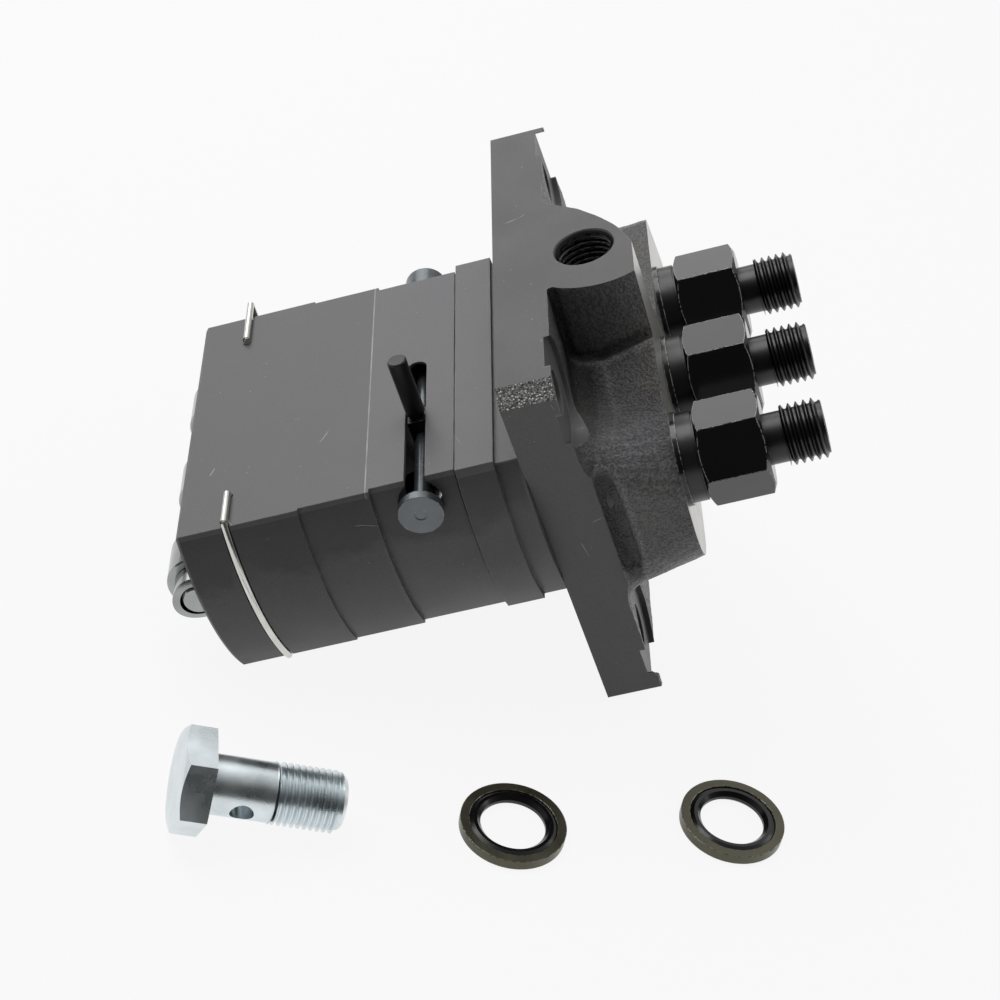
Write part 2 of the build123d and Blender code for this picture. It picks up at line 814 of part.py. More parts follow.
with BuildPart() as lower_seat:
    with BuildSketch(Plane.XY.offset(lower_seat_bottom)):
        Circle(lower_seat_radius)
        Circle(plunger_radius + loose_fit, mode=Mode.SUBTRACT)
        with Locations((0, -lower_seat_radius / 2)):
            Rectangle(2 * (plunger_radius + loose_fit), lower_seat_radius, mode=Mode.SUBTRACT)
    extrude(amount=lower_seat_thickness)
for number, x in cylinders:
    keep(lower_seat, f"lower_spring_seat_{number}", x)

with BuildPart() as tappet_shim:
    with BuildSketch(Plane.XY.offset(tappet_top)):
        Circle(shim_radius)
    extrude(amount=shim_thickness)
for number, x in cylinders:
    keep(tappet_shim, f"tappet_shim_{number}", x)

# Roller tappets
cheek_end = roller_axis - cheek_radius
with BuildPart() as tappet:
    with BuildSketch(Plane.XY.offset(tappet_top)):
        Circle(tappet_radius)
    extrude(amount=-tappet_skirt)
    # Two cheeks that carry the roller pin
    with BuildSketch(Plane.YZ.offset(-tappet_radius)):
        with Locations((0, (tappet_top + roller_axis) / 2)):
            Rectangle(2 * cheek_radius, tappet_top - roller_axis)
        with Locations((0, roller_axis)):
            Circle(cheek_radius)
    extrude(amount=2 * tappet_radius)
    with BuildSketch(Plane.XY.offset(cheek_end)):
        Circle(tappet_radius)
    extrude(amount=tappet_top - cheek_end, mode=Mode.INTERSECT)
    roller_room_top = roller_axis + roller_radius + roller_head_play
    with BuildSketch(Plane.XZ.offset(-tappet_radius)):
        with Locations((0, (roller_room_top + cheek_end) / 2)):
            Rectangle(2 * (roller_half_width + roller_side_play), roller_room_top - cheek_end)
    extrude(amount=2 * tappet_radius, mode=Mode.SUBTRACT)
    with BuildSketch(Plane.YZ.offset(-tappet_radius)):
        with Locations((0, roller_axis)):
            Circle(roller_pin_radius + roller_pin_play)
    extrude(amount=2 * tappet_radius, mode=Mode.SUBTRACT)
    # Guide slots for the wire's peg on one side and the guide pin on the other
    with BuildSketch(Plane.XY.offset(guide_top)):
        with Locations((0, tappet_radius), (0, -tappet_radius)):
            Rectangle(2 * guide_half_width, 2 * guide_depth)
    extrude(amount=tappet_top - tappet_skirt - guide_top, mode=Mode.SUBTRACT)
for number, x in cylinders:
    keep(tappet, f"tappet_{number}", x)

with BuildPart() as roller:
    with BuildSketch(Plane.YZ.offset(-roller_half_width)):
        with Locations((0, roller_axis)):
            Circle(roller_radius)
            Circle(roller_pin_radius + sleeve_fit, mode=Mode.SUBTRACT)
    extrude(amount=2 * roller_half_width)
    chamfer(roller.edges().filter_by(GeomType.CIRCLE).sort_by(SortBy.RADIUS)[-2:], roller_chamfer)
for number, x in cylinders:
    keep(roller, f"tappet_roller_{number}", x)

with BuildPart() as roller_pin:
    with BuildSketch(Plane.YZ.offset(-roller_pin_half)):
        with Locations((0, roller_axis)):
            Circle(roller_pin_radius)
    extrude(amount=2 * roller_pin_half)
    chamfer(roller_pin.faces().filter_by(GeomType.PLANE).edges(), roller_chamfer)
for number, x in cylinders:
    keep(roller_pin, f"roller_pin_{number}", x)

peg_bottom = tappet_radius - guide_pin_bite
with BuildPart() as guide_pins:
    with BuildSketch(Plane.XZ.offset(-(under_y + wire_groove))):
        with Locations(*[(x, guide_z) for x in cylinder_x]):
            Circle(guide_pin_radius)
    extrude(amount=under_y + wire_groove + peg_bottom)
keep(guide_pins, "tappet_guide_pins")

# Wire clip: a peg down through the flat at each end, and the wire round the body between them
wire_line = wire_radius + press_fit
wire_top = flat_y + wire_line
wire_low = under_y + wire_groove - wire_line
wire_reach = tail_reach - wire_groove + wire_line
wire_bow = bow_radius + wire_line
wire_far_middle = (wire_low + wire_leave_y) / 2
near_peg = peg_points[0][0]
far_peg = peg_points[-1][0]
with BuildPart() as wire_clip:
    with BuildLine(Plane.XY.offset(guide_z)) as wire_route:
        near_hook = Polyline(
            (near_peg, peg_bottom),
            (near_peg, wire_top),
            (-bow_half(wire_reach, wire_top, wire_bow), wire_top),
        )
        near_bow = ThreePointArc(
            near_hook @ 1,
            (-wire_reach, bow_middle_y),
            (-bow_half(wire_reach, wire_low, wire_bow), wire_low),
        )
        underneath = Line(near_bow @ 1, (bow_half(wire_reach, wire_low, wire_bow), wire_low))
        far_bow = ThreePointArc(
            underneath @ 1,
            (bow_half(wire_reach, wire_far_middle, wire_bow), wire_far_middle),
            (bow_half(wire_reach, wire_leave_y, wire_bow), wire_leave_y),
        )
        Polyline(
            far_bow @ 1,
            (wire_loop_x, wire_top),
            (far_peg, wire_top),
            (far_peg, peg_bottom),
        )
    route = wire_route.wire()
    with BuildSketch(Plane(origin=route @ 0, z_dir=route % 0)):
        Circle(wire_radius)
    sweep(path=route, transition=Transition.ROUND)
keep(wire_clip, "tappet_wire_clip")

# Banjo bolt, drawn along X from the outer face of its head, with Z up
banjo_end = banjo_head + banjo_shank + banjo_thread
banjo_crown = banjo_across / 2 - banjo_crown_inset
banjo_crown_out = banjo_crown + 2 * banjo_head_chamfer
with BuildPart() as banjo_bolt:
    with BuildSketch(Plane.YZ):
        RegularPolygon(banjo_across / 2, 6, major_radius=False)
    extrude(amount=banjo_head)
    with BuildSketch(Plane.XZ):
        with BuildLine():
            Polyline(
                (0, banjo_crown),
                (0, banjo_crown_out),
                (banjo_head_chamfer, banjo_crown_out),
                close=True,
            )
        make_face()
    revolve(axis=Axis.X, mode=Mode.SUBTRACT)
    with BuildSketch(Plane.YZ.offset(banjo_head)):
        Circle(banjo_shank_radius)
    extrude(amount=banjo_shank)
    with BuildSketch(Plane.YZ.offset(banjo_head + banjo_shank)):
        Circle(banjo_thread_radius)
    extrude(amount=banjo_thread)
    chamfer(banjo_bolt.faces().sort_by(Axis.X)[-1].edges(), banjo_tip_chamfer)
    with BuildSketch(Plane.YZ.offset(banjo_end)):
        Circle(banjo_bore)
    extrude(amount=banjo_bore_end - banjo_end + banjo_head, mode=Mode.SUBTRACT)
    port_dip = radians(banjo_port_dip)
    port_plane = Plane(
        origin=(banjo_head + banjo_port_from_head, 0, 0),
        x_dir=(1, 0, 0),
        z_dir=(0, -cos(port_dip), -sin(port_dip)),
    )
    with BuildSketch(port_plane):
        Circle(banjo_port)
    extrude(amount=banjo_thread_radius, both=True, mode=Mode.SUBTRACT)

# The bolt lies on the inner edge of its head and the end of its thread
banjo_tilt = atan2(banjo_across / 2 - banjo_thread_radius, banjo_end - banjo_tip_chamfer - banjo_head)
banjo_lift = banjo_across / 2 * cos(banjo_tilt) + banjo_head * sin(banjo_tilt)
banjo_place = Location((banjo_x, banjo_y, bench_z + banjo_lift), (0, 0, banjo_yaw))
banjo_place *= Location((0, 0, 0), (0, degrees(banjo_tilt), 0))
placed_bolt = banjo_bolt.part.moved(banjo_place)
placed_bolt.label = "banjo_bolt"
export_step(placed_bolt, "parts/banjo_bolt.step")

# Bonded seals, flat on the bench: steel rings with a rubber bead moulded inside
ring_level = bench_z + (seal_bead_height - seal_thickness) / 2
with BuildPart() as seal_rings:
    with BuildSketch(Plane.XY.offset(ring_level)):
        with Locations(*seal_places):
            Circle(seal_radius)
            Circle(seal_ring_bore, mode=Mode.SUBTRACT)
    extrude(amount=seal_thickness)
seal_rings.part.label = "seal_rings"
export_step(seal_rings.part, "parts/seal_rings.step")

with BuildPart() as seal_rubber:
    with BuildSketch(Plane.XZ):
        with BuildLine():
            Polyline(
                (seal_ring_bore - press_fit, (seal_bead_height - seal_bond) / 2),
                (seal_bead_outer, 0),
                (seal_bead_inner, 0),
                (seal_bore, (seal_bead_height - seal_wall) / 2),
                (seal_bore, (seal_bead_height + seal_wall) / 2),
                (seal_bead_inner, seal_bead_height),
                (seal_bead_outer, seal_bead_height),
                (seal_ring_bore - press_fit, (seal_bead_height + seal_bond) / 2),
                close=True,
            )
        make_face()
    revolve(axis=Axis.Z)
with BuildPart() as seal_rubbers:
    with Locations(*[Location((x, y, bench_z)) for x, y in seal_places]):
        add(seal_rubber.part)
seal_rubbers.part.label = "seal_rubbers"
export_step(seal_rubbers.part, "parts/seal_rubbers.step")
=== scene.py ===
import json
from math import atan2, cos, degrees, pi, radians, sin, tan

import bmesh
import bpy
import numpy as np
from mathutils import Matrix, Vector
from mathutils import noise as wobble


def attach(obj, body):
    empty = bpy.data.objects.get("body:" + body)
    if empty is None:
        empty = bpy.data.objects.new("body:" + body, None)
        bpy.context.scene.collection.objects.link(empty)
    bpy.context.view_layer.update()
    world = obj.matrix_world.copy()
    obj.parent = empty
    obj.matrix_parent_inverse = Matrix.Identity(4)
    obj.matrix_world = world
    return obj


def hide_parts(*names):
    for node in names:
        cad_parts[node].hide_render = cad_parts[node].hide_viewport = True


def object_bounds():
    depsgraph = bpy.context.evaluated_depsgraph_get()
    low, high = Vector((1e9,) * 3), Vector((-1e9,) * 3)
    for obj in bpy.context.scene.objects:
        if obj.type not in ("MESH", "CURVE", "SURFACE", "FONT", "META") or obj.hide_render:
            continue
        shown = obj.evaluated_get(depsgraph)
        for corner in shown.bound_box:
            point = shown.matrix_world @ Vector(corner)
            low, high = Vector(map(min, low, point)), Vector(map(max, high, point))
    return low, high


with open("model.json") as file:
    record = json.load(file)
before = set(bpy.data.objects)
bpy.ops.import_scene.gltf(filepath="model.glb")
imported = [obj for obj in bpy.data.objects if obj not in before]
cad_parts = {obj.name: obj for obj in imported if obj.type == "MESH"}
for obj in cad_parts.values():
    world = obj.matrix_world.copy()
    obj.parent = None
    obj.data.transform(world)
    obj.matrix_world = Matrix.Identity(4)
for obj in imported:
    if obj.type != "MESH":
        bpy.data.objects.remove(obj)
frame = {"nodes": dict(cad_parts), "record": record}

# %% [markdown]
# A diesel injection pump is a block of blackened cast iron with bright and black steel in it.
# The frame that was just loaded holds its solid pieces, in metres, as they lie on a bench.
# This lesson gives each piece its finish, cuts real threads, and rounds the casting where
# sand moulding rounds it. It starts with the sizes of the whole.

cad_box = [list(corner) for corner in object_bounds()]
nodes = frame["nodes"]
mounts = {mount["name"]: mount for mount in frame["record"]["mounts"]}
mm = 0.001
print("solid pieces:", len(nodes), "mounts:", len(mounts))

# %% [markdown]
# The pump doesn't stand upright: it lies on the end of its body and the long edge of its
# flange, so its plungers slope upwards. Every cut and every finish is easier to give in the
# pump's own upright directions, which are X along the row of plungers, Y square to the milled
# flat and Z along the plungers. The flange's mount tells where Z points.

# %% The pump's own directions
plunger_way = Vector(mounts["flange_datum"]["axis"]).normalized()
row_way = Vector((0, 1, 0))
flat_way = plunger_way.cross(row_way).normalized()
upright = Matrix((row_way, flat_way, plunger_way)).transposed().to_4x4()
lie_angle = atan2(plunger_way.z, plunger_way.x)


def pump_point(x, y, z):
    """A place given in the pump's own millimetres, as it lies on the bench, in metres."""
    return upright @ (Vector((x, y, z)) * mm)


print("the plungers slope up by", round(degrees(lie_angle), 2), "degrees")

# %% [markdown]
# The photograph was taken from above and in front with a fairly long lens, and the camera was
# turned a little. A camera is placed by its position, the way that it looks, and that turn.

# %% Camera
camera_place = Vector((-0.06403, -0.3999, 0.28518))
camera_look = Vector((0.11944, 0.78604, -0.60659))
camera_right = Vector((0.98392, -0.0116, 0.17858))
camera_lens = 87.21

camera_data = bpy.data.cameras.new("camera")
camera_data.lens = camera_lens
camera_data.sensor_width = 36
camera_data.clip_start = 0.01
camera = bpy.data.objects.new("camera", camera_data)
camera_up = camera_right.cross(camera_look).normalized()
camera_side = camera_look.normalized().cross(camera_up)
turn = Matrix((camera_side, camera_up, -camera_look.normalized())).transposed().to_4x4()
camera.matrix_world = Matrix.Translation(camera_place) @ turn
bpy.context.scene.collection.objects.link(camera)
bpy.context.scene.camera = camera
print("camera", round((camera_place - pump_point(0, 0, 0)).length, 3), "m from the flange")

# %% [markdown]
# Colours are chosen as the sRGB hex values that a screen shows, and Blender wants linear ones.
# A node tree is a chain of small steps, and one helper that adds a step with its settings and
# its links keeps the chain readable.

# %% Colour and node helpers


def linear(hex_value):
    """An sRGB hex colour as the linear colour that a shader takes."""
    parts = [int(hex_value[i:i + 2], 16) / 255 for i in (1, 3, 5)]
    light = [p / 12.92 if p <= 0.04045 else ((p + 0.055) / 1.055) ** 2.4 for p in parts]
    return (*light, 1)


def add_node(tree, kind, links=None, **settings):
    """Adds a node. Settings that name an input fill it, and links join inputs to outputs."""
    node = tree.nodes.new(kind)
    for name, value in settings.items():
        if hasattr(node, name):
            setattr(node, name, value)
    for key, value in (links or {}).items():
        if isinstance(value, bpy.types.NodeSocket):
            tree.links.new(value, node.inputs[key])
        else:
            node.inputs[key].default_value = value
    return node


def start_material(name, **surface):
    """A new material, its node tree and its Principled shader with sockets set by name."""
    material = bpy.data.materials.new(name)
    material.use_nodes = True
    shader = material.node_tree.nodes["Principled BSDF"]
    for key, value in surface.items():
        shader.inputs[key.replace("_", " ")].default_value = value
    return material, material.node_tree, shader


print("a mid grey of #808080 is", round(linear("#808080")[0], 3), "in linear light")

# %% [markdown]
# The object was photographed in a tent of white paper. A floor could be a plain white plane
# under strong lamps, but that would light the iron from below. So the paper is light grey, and
# rays of the camera and mirror-like reflections see it a little lighter than the lamps make it,
# which is how a product picture is exposed. The soft shadow stays.

# %% Floor
bench_level = cad_box[0][2]
floor_half = 3.0
floor_lift = 0.9
floor_mesh = bpy.data.meshes.new("floor")
floor_corners = [(x * floor_half, y * floor_half, bench_level)
                 for x, y in ((-1, -1), (1, -1), (1, 1), (-1, 1))]
floor_mesh.from_pydata(floor_corners, [], [(0, 1, 2, 3)])
floor = bpy.data.objects.new("floor", floor_mesh)
bpy.context.scene.collection.objects.link(floor)

# Uncoated paper: the eye sees an even white without any gloss
paper, tree, shader = start_material("white_paper_sweep", Roughness=0.8)
shader.inputs["Base Color"].default_value = linear("#c4c4c4")
shader.inputs["Specular IOR Level"].default_value = 0.2
path = add_node(tree, "ShaderNodeLightPath")
glossy = add_node(tree, "ShaderNodeMath",
                  {0: path.outputs["Is Camera Ray"], 1: path.outputs["Is Glossy Ray"]},
                  operation="MAXIMUM")
seen = add_node(tree, "ShaderNodeMath",
                {0: glossy.outputs[0], 1: path.outputs["Is Transmission Ray"]},
                operation="MAXIMUM")
white = add_node(tree, "ShaderNodeEmission", {"Color": linear("#ffffff"), "Strength": 1.0})
lift = add_node(tree, "ShaderNodeMath", {0: seen.outputs[0], 1: floor_lift}, operation="MULTIPLY")
mixed = add_node(tree, "ShaderNodeMixShader",
                 {0: lift.outputs[0], 1: shader.outputs[0], 2: white.outputs[0]})
tree.links.new(mixed.outputs[0], tree.nodes["Material Output"].inputs["Surface"])
floor.data.materials.append(paper)
print("floor at", round(bench_level / mm, 2), "mm")

# %% [markdown]
# In the tent most of the light comes from above and from behind the object, and the side of the
# camera is darker, which is what draws the dark facets on polished black steel. A picture of a
# studio could light the scene, but this script reads no files. Two ramps do the same: one goes
# with the height of a ray's direction and one with how far it points away from the camera.

# %% World
world = bpy.data.worlds.new("studio")
bpy.context.scene.world = world
world.use_nodes = True
tree = world.node_tree
back = tree.nodes["Background"]
back.inputs["Color"].default_value = linear("#ffffff")
way = add_node(tree, "ShaderNodeTexCoord")
parts = add_node(tree, "ShaderNodeSeparateXYZ", {0: way.outputs["Generated"]})
height = add_node(tree, "ShaderNodeMapRange",
                  {0: parts.outputs["Z"], "From Min": 0.1, "From Max": 0.85,
                   "To Min": 0.35, "To Max": 1.0})
depth = add_node(tree, "ShaderNodeMapRange",
                 {0: parts.outputs["Y"], "From Min": -0.6, "From Max": 0.6,
                  "To Min": 0.1, "To Max": 1.0})
tent = add_node(tree, "ShaderNodeMath", {0: height.outputs[0], 1: depth.outputs[0]},
                operation="MULTIPLY")
path = add_node(tree, "ShaderNodeLightPath")
seen = add_node(tree, "ShaderNodeMath",
                {0: path.outputs["Is Camera Ray"], 1: path.outputs["Is Transmission Ray"]},
                operation="MAXIMUM")
strength = add_node(tree, "ShaderNodeMix", {0: seen.outputs[0], 2: tent.outputs[0], 3: 1.0})
tree.links.new(strength.outputs[0], back.inputs["Strength"])
print("the tent behind the camera is at", round(depth.inputs["To Min"].default_value, 2),
      "of its full strength")

# %% [markdown]
# Three soft boxes give the highlights their shapes. One hangs overhead. One is a panel at the
# back: the top facets of the valve holders and the milled flat lean so that they mirror it
# towards the camera. A weak one at the side opens the shadows of the threads.

# %% Soft boxes


def softbox(name, place, aim, width, height, power):
    """A rectangular lamp that shines from a place towards an aim."""
    data = bpy.data.lights.new(name, "AREA")
    data.shape = "RECTANGLE"
    data.size = width
    data.size_y = height
    data.energy = power
    lamp = bpy.data.objects.new(name, data)
    lamp.location = place
    lamp.rotation_euler = (Vector(aim) - Vector(place)).to_track_quat("-Z", "Y").to_euler()
    bpy.context.scene.collection.objects.link(lamp)


softbox("overhead", (-0.32, 0.25, 0.72), (0, 0, 0), width=0.55, height=0.55, power=3.3)
softbox("back_panel", (-0.31, 0.55, 0.29), (0, 0, 0), width=0.6, height=0.32, power=0.95)
softbox("side_fill", (0.65, 0.05, 0.25), (0, 0, 0), width=0.35, height=0.3, power=0.5)
bpy.context.scene.view_settings.view_transform = "Standard"
print("lamps:", [lamp.name for lamp in bpy.data.lights])

# %% [markdown]
# Tool marks and oil stains follow the pump and not the bench, so every finish reads its place in
# the pump's own millimetres. In a shader the turned X points down into the body from the milled
# flat, Y runs along the row and Z along the plungers. A pattern's scale is then one over its
# size in millimetres.

# %% The pump's directions in a shader


def pump_space(tree):
    """The shading point in the pump's own turned directions, in millimetres."""
    where = add_node(tree, "ShaderNodeTexCoord")
    turned = add_node(tree, "ShaderNodeVectorRotate",
                      {"Vector": where.outputs["Object"], "Angle": lie_angle - pi / 2},
                      rotation_type="Y_AXIS")
    large = add_node(tree, "ShaderNodeVectorMath", {0: turned.outputs[0], "Scale": 1 / mm},
                     operation="SCALE")
    return large.outputs[0]


print("a shader turns its place by", round(degrees(lie_angle - pi / 2), 2), "degrees about Y")

# %% [markdown]
# The body is grey cast iron that was milled and ground and then blackened in a hot salt bath.
# The bath leaves a thin dark layer, nearly matte, with faint cloudy patches, the cutter's fine
# lines, a few bright scratches and bare metal along the edges that rub. A painted picture could
# hold all of it, but noise that is worked out at each point has no seams and no lowest size.
# Masks by height and length tell the flange's flush face with its painted shade, the two passes
# of the mill on the flat with the thin bright step between them, and the oil on the sides.

# %% Blackened milled iron
# Milled and blackened: the eye sees an even dark grey with a soft sheen and light edges
machined_iron, tree, shader = start_material("blackened_milled_iron", Roughness=0.46)
shader.inputs["Specular IOR Level"].default_value = 0.5
space = pump_space(tree)
# Real cutter lines are about 0.15 mm apart and grains 0.1 mm: both are drawn coarser to show
cloud_size, cutter_line, grain_size, edge_width = 13.0, 0.35, 0.3, 0.28
scratch_bend, scratch_length, fleck_gap = 24.0, 6.0, 3.2
# Heights over the plungers' middle plane, and a length along the body, in millimetres
flush_from, flat_from, side_below = 32.0, 15.0, 15.2
pass_line, pass_step, flange_from = -30.4, 0.14, -0.5
oil_least, oil_most, oil_waves = 12.5, 16.0, 18.0
clouds = add_node(tree, "ShaderNodeTexNoise",
                  {"Vector": space, "Scale": 1 / cloud_size, "Detail": 4.0, "Roughness": 0.55})
# The cutter went along the row, so its lines are stretched that way
stretched = add_node(tree, "ShaderNodeVectorMath", {0: space, 1: (1, 0.04, 1)},
                     operation="MULTIPLY")
lines = add_node(tree, "ShaderNodeTexNoise",
                 {"Vector": stretched.outputs[0], "Scale": 1 / cutter_line, "Detail": 2.0,
                  "Roughness": 0.6})
grain = add_node(tree, "ShaderNodeTexNoise",
                 {"Vector": space, "Scale": 1 / grain_size, "Detail": 2.0})
tone = add_node(tree, "ShaderNodeMapRange",
                {0: clouds.outputs[0], "From Min": 0.3, "From Max": 0.7,
                 "To Min": 0.86, "To Max": 1.1})
fine = add_node(tree, "ShaderNodeMapRange",
                {0: grain.outputs[0], "From Min": 0.3, "From Max": 0.7,
                 "To Min": 0.88, "To Max": 1.12})
level = add_node(tree, "ShaderNodeMath", {0: tone.outputs[0], 1: fine.outputs[0]},
                 operation="MULTIPLY")
# The flat was milled in two passes: the one by the body's end came out a little darker
body_way = add_node(tree, "ShaderNodeSeparateXYZ", {0: space})
flat_height = add_node(tree, "ShaderNodeMath", {0: body_way.outputs["X"], 1: -1.0},
                       operation="MULTIPLY")
second_pass = add_node(tree, "ShaderNodeMapRange",
                       {0: body_way.outputs["Z"], "From Min": pass_line,
                        "From Max": pass_line + 0.3, "To Min": 0.88, "To Max": 1.04})
# The flange's flush face is painted at half the tone, as painted shade
flush_face_painted_shade = add_node(tree, "ShaderNodeMapRange",
                 {0: flat_height.outputs[0], "From Min": flush_from, "From Max": flush_from + 0.2,
                   "To Min": 1.0, "To Max": 0.5})
# Oil crept along the upper part of the near and far sides and darkened them
oil_edge = add_node(tree, "ShaderNodeMath",
                    {0: clouds.outputs[0], 1: oil_waves, 2: flat_height.outputs[0]},
                    operation="MULTIPLY_ADD")
oiled = add_node(tree, "ShaderNodeMapRange",
                 {0: oil_edge.outputs[0], "From Min": oil_least, "From Max": oil_most,
                  "To Min": 1.0, "To Max": 0.55})
below_flat = add_node(tree, "ShaderNodeMath", {0: flat_height.outputs[0], 1: side_below},
                      operation="LESS_THAN")
below_flange = add_node(tree, "ShaderNodeMath", {0: body_way.outputs["Z"], 1: flange_from},
                        operation="LESS_THAN")
side_only = add_node(tree, "ShaderNodeMath",
                     {0: below_flat.outputs[0], 1: below_flange.outputs[0]}, operation="MULTIPLY")
film = add_node(tree, "ShaderNodeMix", {0: side_only.outputs[0], 2: 1.0, 3: oiled.outputs[0]})
first_tone = add_node(tree, "ShaderNodeMath", {0: flush_face_painted_shade.outputs[0], 1: film.outputs[0]},
                      operation="MULTIPLY")
both_tones = add_node(tree, "ShaderNodeMath",
                      {0: first_tone.outputs[0], 1: second_pass.outputs[0]}, operation="MULTIPLY")
passes = add_node(tree, "ShaderNodeMath", {0: level.outputs[0], 1: both_tones.outputs[0]},
                  operation="MULTIPLY")
colour = add_node(tree, "ShaderNodeVectorMath",
                  {0: linear("#5d5c5e")[:3], "Scale": passes.outputs[0]},
                  operation="SCALE")
# A scratch follows a contour of slow noise, and a second noise breaks it off
paths = add_node(tree, "ShaderNodeTexNoise",
                 {"Vector": space, "Scale": 1 / scratch_bend, "Detail": 0.0})
near_path = add_node(tree, "ShaderNodeMath", {0: paths.outputs[0], 1: 0.5, 2: 0.0012},
                     operation="COMPARE")
breaks = add_node(tree, "ShaderNodeTexNoise",
                  {"Vector": space, "Scale": 1 / scratch_length, "Detail": 1.0})
kept = add_node(tree, "ShaderNodeMapRange",
                {0: breaks.outputs[0], "From Min": 0.62, "From Max": 0.68})
scratch = add_node(tree, "ShaderNodeMath", {0: near_path.outputs[0], 1: kept.outputs[0]},
                   operation="MULTIPLY")
flecks = add_node(tree, "ShaderNodeTexVoronoi",
                  {"Vector": space, "Scale": 1 / fleck_gap, "Randomness": 1.0})
fleck = add_node(tree, "ShaderNodeMapRange",
                 {0: flecks.outputs["Distance"], "From Min": 0.05, "From Max": 0.03,
                  "To Min": 0.0, "To Max": 0.5})
hairs = add_node(tree, "ShaderNodeMath", {0: scratch.outputs[0], 1: fleck.outputs[0]},
                 operation="MAXIMUM")
# Between the passes the cutter left a thin bright step
at_line = add_node(tree, "ShaderNodeMath", {0: body_way.outputs["Z"], 1: pass_line, 2: pass_step},
                   operation="COMPARE")
on_flat = add_node(tree, "ShaderNodeMath", {0: flat_height.outputs[0], 1: flat_from},
                   operation="GREATER_THAN")
step_line = add_node(tree, "ShaderNodeMath", {0: at_line.outputs[0], 1: on_flat.outputs[0]},
                     operation="MULTIPLY")
step_part = add_node(tree, "ShaderNodeMath", {0: step_line.outputs[0], 1: breaks.outputs[0]},
                     operation="MULTIPLY")
marks = add_node(tree, "ShaderNodeMath", {0: hairs.outputs[0], 1: step_part.outputs[0]},
                 operation="MAXIMUM")
# Edges: where a rounded normal leaves the true one, the black layer is rubbed away
rounded_normal = add_node(tree, "ShaderNodeBevel", {"Radius": edge_width * mm}, samples=4)
true_normal = add_node(tree, "ShaderNodeNewGeometry")
agree = add_node(tree, "ShaderNodeVectorMath",
                 {0: rounded_normal.outputs[0], 1: true_normal.outputs["Normal"]},
                 operation="DOT_PRODUCT")
edge = add_node(tree, "ShaderNodeMapRange",
                {0: agree.outputs["Value"], "From Min": 0.985, "From Max": 0.86,
                 "To Min": 0.0, "To Max": 0.7})
worn_part = add_node(tree, "ShaderNodeMapRange",
                     {0: breaks.outputs[0], "From Min": 0.38, "From Max": 0.6,
                      "To Min": 0.25, "To Max": 1.0})
worn = add_node(tree, "ShaderNodeMath", {0: edge.outputs[0], 1: worn_part.outputs[0]},
                operation="MULTIPLY")
bare = add_node(tree, "ShaderNodeMath", {0: worn.outputs[0], 1: marks.outputs[0]},
                operation="MAXIMUM")
finished = add_node(tree, "ShaderNodeMix",
                    {0: bare.outputs[0], 6: colour.outputs[0], 7: linear("#b4b3b1")},
                    data_type="RGBA")
tree.links.new(finished.outputs[2], shader.inputs["Base Color"])
sheen = add_node(tree, "ShaderNodeMapRange",
                 {0: clouds.outputs[0], "From Min": 0.3, "From Max": 0.7,
                  "To Min": 0.4, "To Max": 0.52})
tree.links.new(sheen.outputs[0], shader.inputs["Roughness"])
relief = add_node(tree, "ShaderNodeMath", {0: lines.outputs[0], 1: grain.outputs[0]},
                  operation="ADD")
bump = add_node(tree, "ShaderNodeBump",
                {"Height": relief.outputs[0], "Distance": 0.02 * mm, "Strength": 0.8,
                 "Normal": rounded_normal.outputs[0]})
tree.links.new(bump.outputs[0], shader.inputs["Normal"])
print(machined_iron.name, "has", len(tree.nodes), "nodes")

# %% [markdown]
# The surfaces that no tool touched keep the grain of the mould's sand. By how much the skin
# bends, crests get a painted highlight and valleys a painted shade, the grains get a painted
# glitter, and a brown stain shows here and there. The grain could be real geometry, but at half a
# millimetre that would take millions of faces, so it is a bump. How much the skin bends is
# measured on the mesh later on, and the mesh carries it to this finish as an attribute.

# %% Blackened sand cast iron
# Sand cast and blackened, a little brown, with painted shade in hollows and painted glitter on
# grains
cast_iron, tree, shader = start_material("blackened_sand_cast_iron", Roughness=0.4)
shader.inputs["Specular IOR Level"].default_value = 0.75
space = pump_space(tree)
# Moulding sand has grains of 0.2 to 0.3 mm: they are drawn at 0.5 mm so that they show
sand_grain, sand_lump, stain_size = 0.5, 2.2, 11.0
grains = add_node(tree, "ShaderNodeTexNoise",
                  {"Vector": space, "Scale": 1 / sand_grain, "Detail": 3.0, "Roughness": 0.6})
lumps = add_node(tree, "ShaderNodeTexNoise",
                 {"Vector": space, "Scale": 1 / sand_lump, "Detail": 3.0, "Roughness": 0.55})
stains = add_node(tree, "ShaderNodeTexNoise",
                  {"Vector": space, "Scale": 1 / stain_size, "Detail": 3.0})
hill = add_node(tree, "ShaderNodeMath", {0: lumps.outputs[0], 1: 0.6, 2: grains.outputs[0]},
                operation="MULTIPLY_ADD")
bump = add_node(tree, "ShaderNodeBump",
                {"Height": hill.outputs[0], "Distance": 0.6 * mm, "Strength": 1.0})
tree.links.new(bump.outputs[0], shader.inputs["Normal"])
rust = add_node(tree, "ShaderNodeMapRange",
                {0: stains.outputs[0], "From Min": 0.5, "From Max": 0.72,
                 "To Min": 0.0, "To Max": 0.35})
skin_colour = add_node(tree, "ShaderNodeMix",
                       {0: rust.outputs[0], 6: linear("#4e4e50"), 7: linear("#5d5540")},
                       data_type="RGBA")
# Painted glitter: the grains' colour is lifted where they would glint
painted_glitter = add_node(tree, "ShaderNodeMapRange",
                 {0: grains.outputs[0], "From Min": 0.42, "From Max": 0.66,
                  "To Min": 0.6, "To Max": 1.9})
